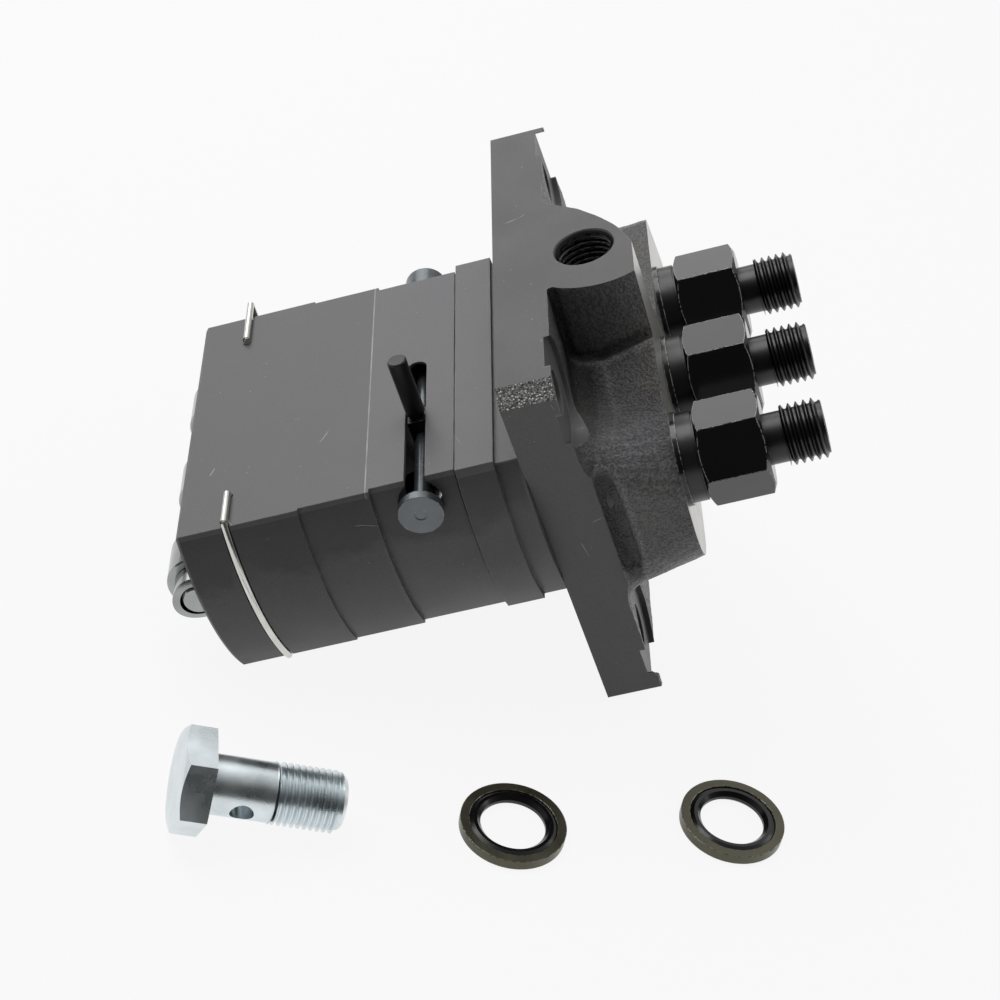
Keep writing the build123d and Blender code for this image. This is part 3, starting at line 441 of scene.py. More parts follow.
# The attribute is negative in valleys and positive on crests
bend_here = add_node(tree, "ShaderNodeAttribute", attribute_name="skin_bend")
# Painted highlight and shade: the bend paints crests lighter and valleys darker
rubbed = add_node(tree, "ShaderNodeMapRange",
                  {0: bend_here.outputs["Fac"], "From Min": -0.3, "From Max": 0.5,
                   "To Min": 0.25, "To Max": 2.2})
painted_light_on_skin = add_node(tree, "ShaderNodeMath", {0: painted_glitter.outputs[0], 1: rubbed.outputs[0]},
                  operation="MULTIPLY")
lit = add_node(tree, "ShaderNodeVectorMath",
               {0: skin_colour.outputs[2], "Scale": painted_light_on_skin.outputs[0]},
               operation="SCALE")
tree.links.new(lit.outputs[0], shader.inputs["Base Color"])
glitter = add_node(tree, "ShaderNodeMapRange",
                   {0: grains.outputs[0], "From Min": 0.45, "From Max": 0.68,
                    "To Min": 0.5, "To Max": 0.18})
tree.links.new(glitter.outputs[0], shader.inputs["Roughness"])
print(cast_iron.name, "has", len(tree.nodes), "nodes")

# %% [markdown]
# At one corner of the flange the casting's flash was broken off, and the fracture was never
# blackened. Broken grey iron shows its crystals. Cells of noise with a bump give each crystal a
# face of its own, which a smooth noise would not.

# %% Broken corner
# Fractured bare grey iron like coarse sugar, its crystals painted bright and dark as glints
broken_iron, tree, shader = start_material("broken_bare_iron", Metallic=0.7, Roughness=0.3)
space = pump_space(tree)
# Real crystals are 0.1 to 0.3 mm: they are drawn a little coarser so that they show
crystal = 0.45
facets = add_node(tree, "ShaderNodeTexVoronoi",
                  {"Vector": space, "Scale": 1 / crystal, "Randomness": 1.0})
crumbs = add_node(tree, "ShaderNodeTexNoise",
                  {"Vector": space, "Scale": 1 / crystal, "Detail": 3.0})
heap = add_node(tree, "ShaderNodeMath", {0: facets.outputs["Distance"], 1: crumbs.outputs[0]},
                operation="ADD")
bump = add_node(tree, "ShaderNodeBump",
                {"Height": heap.outputs[0], "Distance": 0.3 * mm, "Strength": 1.0})
tree.links.new(bump.outputs[0], shader.inputs["Normal"])
# Painted glints: each crystal's colour is made bright and dark to stand in for its sparkle
painted_glint = add_node(tree, "ShaderNodeMapRange",
                 {0: crumbs.outputs[0], "From Min": 0.4, "From Max": 0.62,
                  "To Min": 0.25, "To Max": 1.2})
bare_colour = add_node(tree, "ShaderNodeVectorMath",
                       {0: linear("#8f8f8d")[:3], "Scale": painted_glint.outputs[0]},
                       operation="SCALE")
tree.links.new(bare_colour.outputs[0], shader.inputs["Base Color"])
print(broken_iron.name, "has crystals of", crystal, "mm")

# %% [markdown]
# The face under the valve holders was milled after the bath and is bare. The cutter left fine
# rings round the middle of the head, and handling left dull patches. A ring texture with a slight
# wobble draws them.

# %% Bare milled iron
# Milled bare: the eye sees light grey metal with a soft sheen
bare_iron, tree, shader = start_material("bare_milled_iron", Metallic=0.85, Roughness=0.34)
space = pump_space(tree)
# A ring texture repeats every pi / 10. The real feed is about 0.3 mm, drawn coarser to show
rings_apart, dust_size = 1.385, 4.0
swirl = add_node(tree, "ShaderNodeTexWave",
                 {"Vector": space, "Scale": pi / 10 / rings_apart, "Distortion": 0.6,
                  "Detail": 1.0},
                 wave_type="RINGS", rings_direction="Z")
bump = add_node(tree, "ShaderNodeBump",
                {"Height": swirl.outputs["Fac"], "Distance": 0.01 * mm, "Strength": 0.6})
tree.links.new(bump.outputs[0], shader.inputs["Normal"])
dust = add_node(tree, "ShaderNodeTexNoise",
                {"Vector": space, "Scale": 1 / dust_size, "Detail": 3.0})
shade = add_node(tree, "ShaderNodeMapRange",
                 {0: dust.outputs[0], "From Min": 0.3, "From Max": 0.7,
                  "To Min": 0.85, "To Max": 1.1})
bare_colour = add_node(tree, "ShaderNodeVectorMath",
                       {0: linear("#c9c8c4")[:3], "Scale": shade.outputs[0]},
                       operation="SCALE")
tree.links.new(bare_colour.outputs[0], shader.inputs["Base Color"])
print("iron finishes:", machined_iron.name, cast_iron.name, broken_iron.name, bare_iron.name)

# %% [markdown]
# Steel parts differ by how they were finished: black oxide over a turned or milled face, bright
# zinc plate, ground steel, drawn wire. Each could have a node tree of its own, but they differ in
# numbers only, so one recipe serves them all. It takes a tone, how metallic and rough the face
# is, the size and depth of the tool's marks in millimetres, and how far its edges are rubbed.
# Black oxide is a thin glossy layer, so it isn't metallic to the eye.

# %% Recipe for a turned surface
patch_size, rub_width, chip_size = 5.0, 0.3, 0.8


def turned_steel(name, tone, metallic, roughness, mark_size=0.4, mark_depth=0.01,
                 worn_edge=0.0, edge_tone="#d8d8d6"):
    """A finish with faint patches, fine marks and, where it is asked for, rubbed edges."""
    material, tree, shader = start_material(name, Metallic=metallic, Roughness=roughness)
    space = pump_space(tree)
    clouds = add_node(tree, "ShaderNodeTexNoise",
                      {"Vector": space, "Scale": 1 / patch_size, "Detail": 3.0})
    marks = add_node(tree, "ShaderNodeTexNoise",
                     {"Vector": space, "Scale": 1 / mark_size, "Detail": 2.0})
    shade = add_node(tree, "ShaderNodeMapRange",
                     {0: clouds.outputs[0], "From Min": 0.3, "From Max": 0.7,
                      "To Min": 0.88, "To Max": 1.12})
    colour = add_node(tree, "ShaderNodeVectorMath",
                      {0: linear(tone)[:3], "Scale": shade.outputs[0]},
                      operation="SCALE")
    last_colour = colour.outputs[0]
    dull = add_node(tree, "ShaderNodeMapRange",
                    {0: clouds.outputs[0], "From Min": 0.3, "From Max": 0.7,
                     "To Min": roughness * 0.85, "To Max": roughness * 1.2})
    tree.links.new(dull.outputs[0], shader.inputs["Roughness"])
    bump = add_node(tree, "ShaderNodeBump",
                    {"Height": marks.outputs[0], "Distance": mark_depth * mm, "Strength": 0.6})
    if worn_edge:
        rounded_normal = add_node(tree, "ShaderNodeBevel", {"Radius": rub_width * mm}, samples=4)
        true_normal = add_node(tree, "ShaderNodeNewGeometry")
        agree = add_node(tree, "ShaderNodeVectorMath",
                         {0: rounded_normal.outputs[0], 1: true_normal.outputs["Normal"]},
                         operation="DOT_PRODUCT")
        edge = add_node(tree, "ShaderNodeMapRange",
                        {0: agree.outputs["Value"], "From Min": 0.97, "From Max": 0.9,
                         "To Min": 0.0, "To Max": 1.0})
        chips = add_node(tree, "ShaderNodeTexNoise",
                         {"Vector": space, "Scale": 1 / chip_size, "Detail": 2.0})
        chip_level = 0.62 - worn_edge * 0.3
        chipped = add_node(tree, "ShaderNodeMapRange",
                           {0: chips.outputs[0], "From Min": chip_level,
                            "From Max": chip_level + 0.06})
        worn = add_node(tree, "ShaderNodeMath", {0: edge.outputs[0], 1: chipped.outputs[0]},
                        operation="MULTIPLY")
        finished = add_node(tree, "ShaderNodeMix",
                            {0: worn.outputs[0], 6: last_colour, 7: linear(edge_tone)},
                            data_type="RGBA")
        last_colour = finished.outputs[2]
        tree.links.new(rounded_normal.outputs[0], bump.inputs["Normal"])
    tree.links.new(last_colour, shader.inputs["Base Color"])
    tree.links.new(bump.outputs[0], shader.inputs["Normal"])
    return material


print("patches of", patch_size, "mm, edges rubbed", rub_width, "mm wide")

# %% [markdown]
# Now each finish is named for the real one. Tool marks on such parts are 0.05 to 0.2 mm apart,
# and they are drawn at 0.3 to 0.6 mm so that they show. Rubber uses the recipe as well: its marks
# are those of the mould.

# %% Finishes of the small parts
# Turned, milled and oiled black oxide: deep black facets that mirror the tent, chipped edges
black_oxide = turned_steel("black_oxide_steel", "#0e0e10", 0.0, 0.17, 0.6, 0.012, worn_edge=0.7)
# The same layer on cut threads and necks, where the marks break the mirror into a dull sheen
black_thread = turned_steel("black_oxide_thread", "#0b0b0c", 0.0, 0.33, 0.6, 0.012)
# A pin that a lever rubs: a softer black with a few grey places on its rims
black_pin = turned_steel("black_lever_pin_steel", "#0a0a0b", 0.0, 0.36, 0.4, 0.01,
                         worn_edge=0.2, edge_tone="#8a8a88")
# Electroplated zinc under a clear passivation: bright, bluish white and a little frosty
zinc_plate = turned_steel("bright_zinc_plate", "#dde5e8", 1.0, 0.3, 0.35, 0.03)
# Ground and lapped steel: a clean cool mirror with soft edges to its reflections
ground_steel = turned_steel("ground_steel", "#a0a2a2", 1.0, 0.2)
# Cold drawn wire: the brightest metal here, one sharp highlight along its length
drawn_wire = turned_steel("drawn_spring_wire", "#cfcfca", 1.0, 0.2)
# Spring steel tempered in oil: a dark warm grey with a wide soft highlight
spring_steel = turned_steel("oil_tempered_spring_steel", "#4c4c4d", 1.0, 0.4)
# Zinc under an olive passivation: greenish brown, rubbed to pale metal on the rims
olive_steel = turned_steel("olive_passivated_steel", "#5c5a4c", 0.7, 0.3, 0.3, 0.03,
                           worn_edge=0.6, edge_tone="#b5b3a4")
# Ground steel with a thin phosphate layer: slate grey, still a little glossy
phosphated_steel = turned_steel("phosphated_rack_steel", "#666b6e", 0.75, 0.28,
                                worn_edge=0.3, edge_tone="#9ba1a4")
# Rolled and annealed copper: a soft reddish metal without any mirror
copper_sheet = turned_steel("copper_gasket_sheet", "#b4694a", 1.0, 0.35)
# Nitrile rubber from a polished mould: black with a wet looking highlight
nitrile_rubber = turned_steel("moulded_nitrile_rubber", "#070708", 0.0, 0.22, 0.3, 0.01)
print("materials so far:", len(bpy.data.materials))

# %% [markdown]
# The record of the solid model names a material slot for each piece, so a short table from slot
# to finish dresses them all. The pieces that get new shapes further down are dressed there.

# %% Finish of each slot
finish_of_slot = {
    "body": machined_iron, "holder": black_oxide, "black_pin": black_pin, "wire": drawn_wire,
    "ground_steel": ground_steel, "copper": copper_sheet, "spring_steel": spring_steel,
    "zinc": zinc_plate, "seal_steel": olive_steel, "rubber": nitrile_rubber,
    "rack": phosphated_steel, "plug": spring_steel,
}
for part in frame["record"]["subparts"]:
    mesh = nodes[part["node"]].data
    mesh.materials.clear()
    mesh.materials.append(finish_of_slot[part["material_slot"]])

# %% [markdown]
# A thread is a ridge that climbs round a cylinder. It could be a bump or a screw modifier, but a
# bump leaves the outline smooth, and the modifier leaves ragged ends. A grid of rings, each
# sheared so that it climbs by one pitch a turn, puts the mesh's own lines on the crest and the
# root, which stay crisp at any size. The rings are clamped at both ends, which ends the thread
# flat.

# %% Threads
thread_steps = 96
thread_crease = 0.45
crest_share, root_share = 0.125, 0.25
flank_share = (1 - crest_share - root_share) / 2
root_from = crest_share + flank_share
root_to = root_from + root_share


def thread_form(phase, crest, root):
    """Radius at a phase of 0 to 1 in the pitch: flat crest, sloping flank, flat root."""
    phase = phase % 1.0
    if phase < crest_share:
        return crest
    if phase < root_from:
        return crest + (root - crest) * (phase - crest_share) / flank_share
    if phase < root_to:
        return root
    return root + (crest - root) * (phase - root_to) / flank_share


def thread_rings(bm, length, pitch, crest, root, tip_chamfer, start_chamfer=0.0):
    """Adds a threaded surface along Z from 0 to length and returns its rings."""
    levels = [0.0, crest_share, root_from, root_to]
    turns = int(length / pitch) + 3
    rings = []
    for turn in range(-1, turns):
        for level in levels:
            ring = []
            for step in range(thread_steps):
                share = step / thread_steps
                z = (turn + level + share) * pitch
                z = min(max(z, 0.0), length)
                radius = thread_form(z / pitch - share, crest, root)
                radius = min(radius, crest - tip_chamfer + max(length - z, 0.0))
                if start_chamfer:
                    radius = min(radius, crest - start_chamfer + z)
                angle = 2 * pi * share
                ring.append(bm.verts.new((radius * cos(angle), radius * sin(angle), z)))
            rings.append(ring)
    for low, high in zip(rings, rings[1:]):
        for step in range(thread_steps - 1):
            bm.faces.new((low[step], low[step + 1], high[step + 1], high[step]))
    levels_a_turn = len(levels)
    for index in range(len(rings) - 1 - levels_a_turn):
        low, high = rings[index], rings[index + 1]
        far_low, far_high = rings[index + levels_a_turn], rings[index + 1 + levels_a_turn]
        bm.faces.new((low[-1], far_low[0], far_high[0], high[-1]))
    return rings


print("a thread ring has", thread_steps, "points")

# %% [markdown]
# The solid models end in plain cylinders where the real pieces are threaded. A copy of each
# solid is cut off where its thread starts, and the threaded end is built on in its place. The
# record's mounts say where each thread is, which way it points and how thick it is.

# %% Helpers for threaded ends
solid_weld = mm / 200
seam_weld = mm / 500


def copy_cut(node, place, way):
    """A bmesh copy of a solid piece without what lies beyond a plane."""
    bm = bmesh.new()
    bm.from_mesh(nodes[node].data)
    bmesh.ops.remove_doubles(bm, verts=bm.verts, dist=solid_weld)
    geometry = bm.verts[:] + bm.edges[:] + bm.faces[:]
    bmesh.ops.bisect_plane(bm, geom=geometry, dist=mm / 1000, plane_co=place, plane_no=way,
                           clear_outer=True)
    return bm


def turn_point(radius, step, z):
    """A point of a round ring across Z."""
    angle = 2 * pi * step / thread_steps
    return radius * cos(angle), radius * sin(angle), z


def close_ring(bm, ring, radius, z):
    """Adds a round ring and the faces that join it to another, and returns it."""
    inner = [bm.verts.new(turn_point(radius, step, z)) for step in range(thread_steps)]
    for step in range(thread_steps):
        after = (step + 1) % thread_steps
        bm.faces.new((ring[step], inner[step], inner[after], ring[after]))
    return inner


def add_part(bm, part):
    """Moves one bmesh into another."""
    carrier = bpy.data.meshes.new("carrier")
    part.to_mesh(carrier)
    part.free()
    bm.from_mesh(carrier)
    bpy.data.meshes.remove(carrier)


def placed_piece(name, bm, body, finish, sharp=0.6):
    """Makes an object of a bmesh that rides on a body, with crisp edges over a limit."""
    bmesh.ops.remove_doubles(bm, verts=bm.verts, dist=seam_weld)
    bmesh.ops.recalc_face_normals(bm, faces=bm.faces)
    mesh = bpy.data.meshes.new(name)
    bm.to_mesh(mesh)
    bm.free()
    for kept in [a for a in mesh.attributes if a.name == "custom_normal"]:
        mesh.attributes.remove(kept)
    mesh.polygons.foreach_set("use_smooth", [True] * len(mesh.polygons))
    mesh.set_sharp_from_angle(angle=sharp)
    mesh.materials.append(finish)
    piece = bpy.data.objects.new(name, mesh)
    bpy.context.scene.collection.objects.link(piece)
    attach(piece, body)
    return piece


def along(place, way):
    """The matrix that takes Z to a way and the origin to a place."""
    return Matrix.Translation(place) @ Vector(way).to_track_quat("Z", "Y").to_matrix().to_4x4()


print("a solid is welded within", round(solid_weld / mm, 4), "mm")

# %% [markdown]
# The head, its inlet boss and the flange were poured in a sand mould. Where two walls of a
# casting meet, the pattern maker rounds the inside corner, and the iron's skin stays rough. A
# solid that is lofted from sketches has sharp inside corners, and a bevel can't follow where
# such forms cross. So the casting is made again from the same sizes, each form as a signed
# distance in the pump's own millimetres: negative inside, positive outside. Distances blend
# with a smooth minimum, which is a fillet. The outlines come first.

# %% Outlines of the casting, in millimetres
near_tilt = tan(radians(6.6))
far_tilt = tan(radians(13.0))
flange_top, flange_low, flange_thick = 32.5, -54.8, 10.8
head_top = 28.2
spotface_floor = 9.65
boss_foot = 9.65
row_places = (-26.0, 0.0, 26.0)
inlet_at = (5.9, 18.6)


def near_edge(y):
    """X of the flange's near edge at a height Y."""
    return -38.5 + (flange_top - y) * near_tilt


def far_edge(y):
    """X of the flange's far edge at a height Y."""
    return 56.5 + (flange_top - y) * far_tilt


def rounded(corners, radii, steps=10):
    """Points of a polygon with its corners rounded, the same number for each corner."""
    points = []
    for number, corner in enumerate(corners):
        here = np.array(corner, float)
        before = np.array(corners[number - 1], float) - here
        after = np.array(corners[(number + 1) % len(corners)], float) - here
        before /= np.linalg.norm(before)
        after /= np.linalg.norm(after)
        half = np.arccos(np.clip(before @ after, -1, 1)) / 2
        bisector = (before + after) / np.linalg.norm(before + after)
        middle = here + bisector * radii[number] / np.sin(half)
        reach = radii[number] / np.tan(half)
        first = here + before * reach - middle
        last = here + after * reach - middle
        for share in np.linspace(0, 1, steps):
            spoke = first * (1 - share) + last * share
            points.append(middle + spoke / np.linalg.norm(spoke) * radii[number])
    return np.array(points)


def arc_through(start, middle, end, steps=14):
    """Points on the arc through three points."""
    (ax, ay), (bx, by), (cx, cy) = start, middle, end
    d = 2 * (ax * (by - cy) + bx * (cy - ay) + cx * (ay - by))
    a2, b2, c2 = ax**2 + ay**2, bx**2 + by**2, cx**2 + cy**2
    ux = (a2 * (by - cy) + b2 * (cy - ay) + c2 * (ay - by)) / d
    uy = (a2 * (cx - bx) + b2 * (ax - cx) + c2 * (bx - ax)) / d
    angles = [atan2(y - uy, x - ux) for x, y in (start, middle, end)]
    sweep = angles[2] - angles[0]
    through = (angles[1] - angles[0]) % (2 * pi)
    sweep %= 2 * pi
    if through > sweep:
        sweep -= 2 * pi
    radius = ((ax - ux)**2 + (ay - uy)**2) ** 0.5
    return [(ux + radius * cos(angles[0] + sweep * s), uy + radius * sin(angles[0] + sweep * s))
            for s in np.linspace(0, 1, steps)]


def head_corners(near_upper, near_lower, draft):
    """Corners of the head at one level, with its far sides drawn by a draft."""
    top, low, far_x = 9.4 + draft / 2, -24.6 - draft, 48.5 - draft
    return [(near_upper, top), (far_x, top), (far_x + 9.0, top - 18.0), (far_x, low),
            (near_lower, low)]


head_foot = rounded(head_corners(near_edge(11.85) + 0.3, near_edge(-29.5) + 0.3, 4.9),
                    (6, 3, 3, 3, 10))
head_crown = rounded(head_corners(-35.8, -35.8, 0.0), (13, 3, 3, 3, 15))
boss_mouth = np.array(
    arc_through((-4.0, boss_foot), (-8.7, 21.7), (-6.5, 29.0))
    + arc_through((0.7, 29.0), (12.8, 24.0), (26.1, boss_foot))
)
slab_top, slab_low, slab_shoulder, slab_spare = 34.5, -57.0, 28.6, 0.6
slab = np.array([
    (-33.4, slab_top), (58.0, slab_top), (far_edge(slab_low) + 2, slab_low),
    (near_edge(slab_low) - slab_spare, slab_low),
    (near_edge(slab_shoulder) - slab_spare, slab_shoulder),
])
print("outline points:", len(head_foot), "head,", len(boss_mouth), "boss")

# %% [markdown]
# The distance to an outline is the distance to its nearest side, with its sign from how often
# a ray crosses the outline. It could be asked of a mesh point by point, but arrays work out all
# points at once, which keeps it fast.

# %% Distances


def outline_distance(px, py, outline):
    """Signed distance to an outline, or to one outline for each point."""
    ax, ay = outline[..., 0], outline[..., 1]
    bx, by = np.roll(ax, -1, axis=-1), np.roll(ay, -1, axis=-1)
    px, py = px[:, None], py[:, None]
    dx, dy = bx - ax, by - ay
    share = np.clip(((px - ax) * dx + (py - ay) * dy) / (dx * dx + dy * dy), 0, 1)
    near = np.sqrt(((px - ax - share * dx)**2 + (py - ay - share * dy)**2).min(axis=1))
    crosses = ((ay > py) != (by > py)) & (px < dx * (py - ay) / np.where(dy == 0, 1e-9, dy) + ax)
    return np.where(crosses.sum(axis=1) % 2 == 1, -near, near)


def blend_min(a, b, width):
    """The smaller of two distances, with a fillet where they are alike."""
    alike = np.maximum(width - np.abs(a - b), 0) / width
    return np.minimum(a, b) - alike**2 * width / 4


here_to_edge = outline_distance(np.zeros(1), np.zeros(1), slab)[0]
print("the middle plunger is", round(float(-here_to_edge), 1), "mm inside the flange's outline")

# %% [markdown]
# Four more forms make the cast skin what it is. Beside the boss the head rises in a crest, and a
# skirt slopes from it down to the near side. Along the near edge the flange has a low rim, and
# between rim and head runs a valley. At two corners iron was pushed out of the mould's joint and
# stands up as a lip.

# %% Sizes of the cast forms, in millimetres
form_floor, form_top = 4.0, 31.5
crown_carried_on = 1.25
boss_outer, boss_inner, boss_draft = 35.0, 4.0, tan(radians(3.0))
plate_floor = -2.0

# The crest's place at three levels, and how the skirt falls away from it on either side
crest_levels, crest_at_x, crest_at_y = (11.0, 18.0, 28.2), (-7.9, -11.3, -10.6), (15.4, 19.0)
skirt_slope, skirt_back, skirt_round = (0.55, 0.835), (0.6, 0.8), 0.9
skirt_from, skirt_to, skirt_low_side = -28.5, 6.0, -2.0

# The lips stand at the upper far corner and the lower near corner
lip_places = ((far_edge(31) - 0.8, 30.6), (near_edge(-53) + 0.8, -53.0))
lip_level, lip_half, lip_radius = 10.5, 1.4, 1.3
rim_in, rim_level, rim_radius, rim_middle, rim_half = 0.7, 10.9, 1.1, -6, 13
valley_out, valley_level, valley_radius = 0.6, 14.2, 2.1
valley_middle, valley_half, valley_fade = -5, 11, 0.14

# Fillets: wide where head and flange meet, small where the boss meets them
head_to_plate, head_to_skirt, head_to_boss, boss_to_plate = 4.0, 3.0, 1.8, 1.4
lip_fillet, rim_fillet, valley_fillet = 0.8, 0.6, 1.0
print("lips at", [(round(x, 1), y) for x, y in lip_places])

# %% [markdown]
# One function puts the forms together. It takes points as rows of an array and gives each one's
# distance, so the same function serves to settle the mesh and to tell crests from valleys. The
# order matters: head, skirt and boss blend first, lips and rim grow on the flange, and the valley
# is taken away last.

# %% Skin of the casting


def casting_distance(points):
    """Signed distance to the skin of the casting."""
    x, y, z = points.T
    rise = (z - flange_thick) / (head_top - flange_thick)
    share = np.clip(rise, 0, crown_carried_on)[:, None, None]
    head = outline_distance(x, y, head_foot[None] * (1 - share) + head_crown[None] * share)
    head = np.maximum(head, np.maximum(z - form_top, form_floor - z))
    boss = outline_distance(x, z, boss_mouth) - (flange_top - y) * boss_draft
    boss = np.maximum(boss, np.maximum(y - boss_outer, boss_inner - y))
    plate = np.maximum(outline_distance(x, y, slab),
                       np.maximum(z - flange_thick, plate_floor - z))

    crest_x = np.interp(z, crest_levels, crest_at_x)
    crest_y = np.interp(z, (crest_levels[0], crest_levels[-1]), crest_at_y)
    slope = (crest_x - x) * skirt_slope[0] + (y - crest_y) * skirt_slope[1]
    behind = (x - crest_x) * skirt_back[0] + (y - crest_y) * skirt_back[1]
    skirt = -blend_min(-slope, -behind, skirt_round)
    ends = np.maximum(skirt_from - x, x - skirt_to)
    skirt = np.maximum(skirt, np.maximum(ends, np.maximum(z - form_top, form_floor - z)))
    skirt = np.maximum(skirt, skirt_low_side - y)
    head = blend_min(head, skirt, head_to_skirt)
    with_boss = blend_min(blend_min(head, boss, head_to_boss), plate, boss_to_plate)

    for corner_x, corner_y in lip_places:
        past_end = np.maximum(np.abs(y - corner_y) - lip_half, 0)
        lip = np.hypot(np.hypot(x - corner_x, z - lip_level), past_end) - lip_radius
        plate = blend_min(plate, lip, lip_fillet)
    rim = np.maximum(np.hypot(x - near_edge(y) - rim_in, z - rim_level) - rim_radius,
                     np.abs(y - rim_middle) - rim_half)
    plate = blend_min(plate, rim, rim_fillet)
    casting = np.minimum(blend_min(head, plate, head_to_plate), np.minimum(with_boss, plate))

    from_middle = np.maximum(np.abs(y - valley_middle) - valley_half, 0)
    valley = (valley_radius - valley_fade * from_middle
              - np.hypot(x - near_edge(y) + valley_out, z - valley_level))
    return -blend_min(-casting, -valley, valley_fillet)


head_middle = casting_distance(np.array([(0.0, 0.0, head_top)]))[0]
print("the head's middle lies", round(float(-head_middle), 1), "mm under the skin")

# %% [markdown]
# Forms start as closed prisms in one mesh, and two more helpers make an object of a mesh and take
# its modifiers' result. A rough union of the forms is remeshed into small even quads, which
# gives the right topology.
# Each point then steps down its own distance until it lies on the blended skin. Marching cubes
# would give a mesh straight from the distance, but Blender has none for arrays, and its remesh
# makes better quads. What was machined is cut afterwards with flat and round cutters, so those
# edges stay crisp.

# %% Helpers for shapes


def prism(bm, low_points, high_points):
    """Adds a closed prism between two outlines of 3-D points."""
    low = [bm.verts.new(p) for p in low_points]
    high = [bm.verts.new(p) for p in high_points]
    bm.faces.new(low)
    bm.faces.new(reversed(high))
    for number in range(len(low)):
        after = (number + 1) % len(low)
        bm.faces.new((low[number], high[number], high[after], low[after]))


def shape_object(name, bm):
    """An object of a bmesh, with its faces turned outwards."""
    bmesh.ops.recalc_face_normals(bm, faces=bm.faces)
    mesh = bpy.data.meshes.new(name)
    bm.to_mesh(mesh)
    bm.free()
    shape = bpy.data.objects.new(name, mesh)
    bpy.context.scene.collection.objects.link(shape)
    return shape


def applied(shape):
    """The shape's mesh with its modifiers applied. The shape itself is removed."""
    graph = bpy.context.evaluated_depsgraph_get()
    mesh = bpy.data.meshes.new_from_object(shape.evaluated_get(graph))
    bpy.data.objects.remove(shape)
    return mesh


print("a shape starts as closed prisms")

# %% Rough forms of the casting
casting_grid = 0.8
skirt_levels, skirt_edge = (5.0, 31.4), 12.0
lip_bottom, lip_top, lip_box = 9.0, 11.8, ((-1.2, -2.6), (1.2, -2.6), (1.2, 2.6), (-1.2, 2.6))
crown_scale = 1.19

forms = bmesh.new()
skirt_foot = [(skirt_from, 0.0), (skirt_to, 0.0), (skirt_to, skirt_edge), (-7.8, 15.6),
              (skirt_from, 4.5)]
skirt_crown = [(skirt_from, 0.0), (skirt_to, 0.0), (skirt_to, skirt_edge), (-10.6, 19.2),
               (skirt_from, 9.4)]
prism(forms, [(x, y, skirt_levels[0]) for x, y in skirt_foot],
      [(x, y, skirt_levels[1]) for x, y in skirt_crown])
for corner_x, corner_y in lip_places:
    lip_points = [(corner_x + x, corner_y + y) for x, y in lip_box]
    prism(forms, [(x, y, lip_bottom) for x, y in lip_points],
          [(x, y, lip_top) for x, y in lip_points])
crown_above = head_foot + (head_crown - head_foot) * crown_scale
prism(forms, [(x, y, form_floor) for x, y in head_foot],
      [(x, y, flange_thick) for x, y in head_foot])
prism(forms, [(x, y, flange_thick - 0.5) for x, y in head_foot],
      [(x, y, form_top) for x, y in crown_above])
prism(forms, [(x, boss_outer, z) for x, z in boss_mouth],
      [(x, boss_inner, z) for x, z in boss_mouth])
prism(forms, [(x, y, plate_floor) for x, y in slab], [(x, y, flange_thick) for x, y in slab])
casting = shape_object("casting", forms)
remesh = casting.modifiers.new("even_quads", "REMESH")
remesh.mode = "VOXEL"
remesh.voxel_size = casting_grid
skin = applied(casting)
print("even quads:", len(skin.polygons))

# %% [markdown]
# A point moves along the steepest way of the distance, by the distance itself. The way is
# measured by asking again a little to each side. Three rounds are enough, because the rough
# union is nowhere far from the skin.

# %% Settling the skin
rounds, probe, longest_move, least_steepness = 3, 0.05, 1.5, 0.25
points = np.empty(len(skin.vertices) * 3)
skin.vertices.foreach_get("co", points)
points = points.reshape(-1, 3)
for _ in range(rounds):
    here = casting_distance(points)
    slope = np.stack([casting_distance(points + offset) - here for offset in np.eye(3) * probe],
                     axis=1) / probe
    steepness = np.maximum((slope**2).sum(axis=1, keepdims=True), least_steepness)
    points -= np.clip(here, -longest_move, longest_move)[:, None] * slope / steepness
skin.vertices.foreach_set("co", points.ravel())
print("farthest point from the skin:", round(float(np.abs(casting_distance(points)).max()), 3),
      "mm")

# %% [markdown]
# The mould's sand leaves no surface quite even. Two slow waves of noise move the skin by a tenth
# of a millimetre. The finish's bump could do it too, but then the casting's outline would stay
# too straight.

# %% Unevenness of the sand
slow_rise, slow_rate, quick_rise, quick_rate = 0.14, 0.22, 0.07, 0.9
outward = np.empty(len(skin.vertices) * 3)
skin.vertices.foreach_get("normal", outward)
uneven = [slow_rise * wobble.noise(Vector(p) * slow_rate)
          + quick_rise * wobble.noise(Vector(p) * quick_rate) for p in points]
points += outward.reshape(-1, 3) * np.array(uneven)[:, None]
skin.vertices.foreach_set("co", points.ravel())
print("uneven by up to", round(max(abs(rise) for rise in uneven), 2), "mm")

# %% [markdown]
# The rest of the iron is cut away as a milling machine and a drill did: the flat of flange and
# boss, the face under the holders, the flange's edges, the spotfaces and the holes. Each cut is a
# boolean with a closed cutter that reaches well past the casting. The milled body below the
# flange comes from a copy of the solid.

# %% Helpers for machining


def circle(x, y, radius, steps=112):
    """Points of a circle in the plane of an outline."""
    angles = [2 * pi * step / steps for step in range(steps)]
    return [(x + radius * cos(angle), y + radius * sin(angle)) for angle in angles]


def upright_prism(bm, outline, low, high):
    """Adds a closed prism along Z."""
    prism(bm, [(x, y, low) for x, y in outline], [(x, y, high) for x, y in outline])


def machine(mesh, cutter_bm, operation="DIFFERENCE"):
    """Cuts a mesh with a closed cutter and returns the new mesh."""
    work = bpy.data.objects.new("work", mesh)
    bpy.context.scene.collection.objects.link(work)
    cutter = shape_object("cutter", cutter_bm)
    cut = work.modifiers.new("cut", "BOOLEAN")
    cut.operation = operation
    cut.solver = "MANIFOLD"
    cut.object = cutter
    bpy.context.view_layer.update()
    result = applied(work)
    bpy.data.objects.remove(cutter)
    return result


print("a round cutter has", len(circle(0, 0, 1)), "sides")

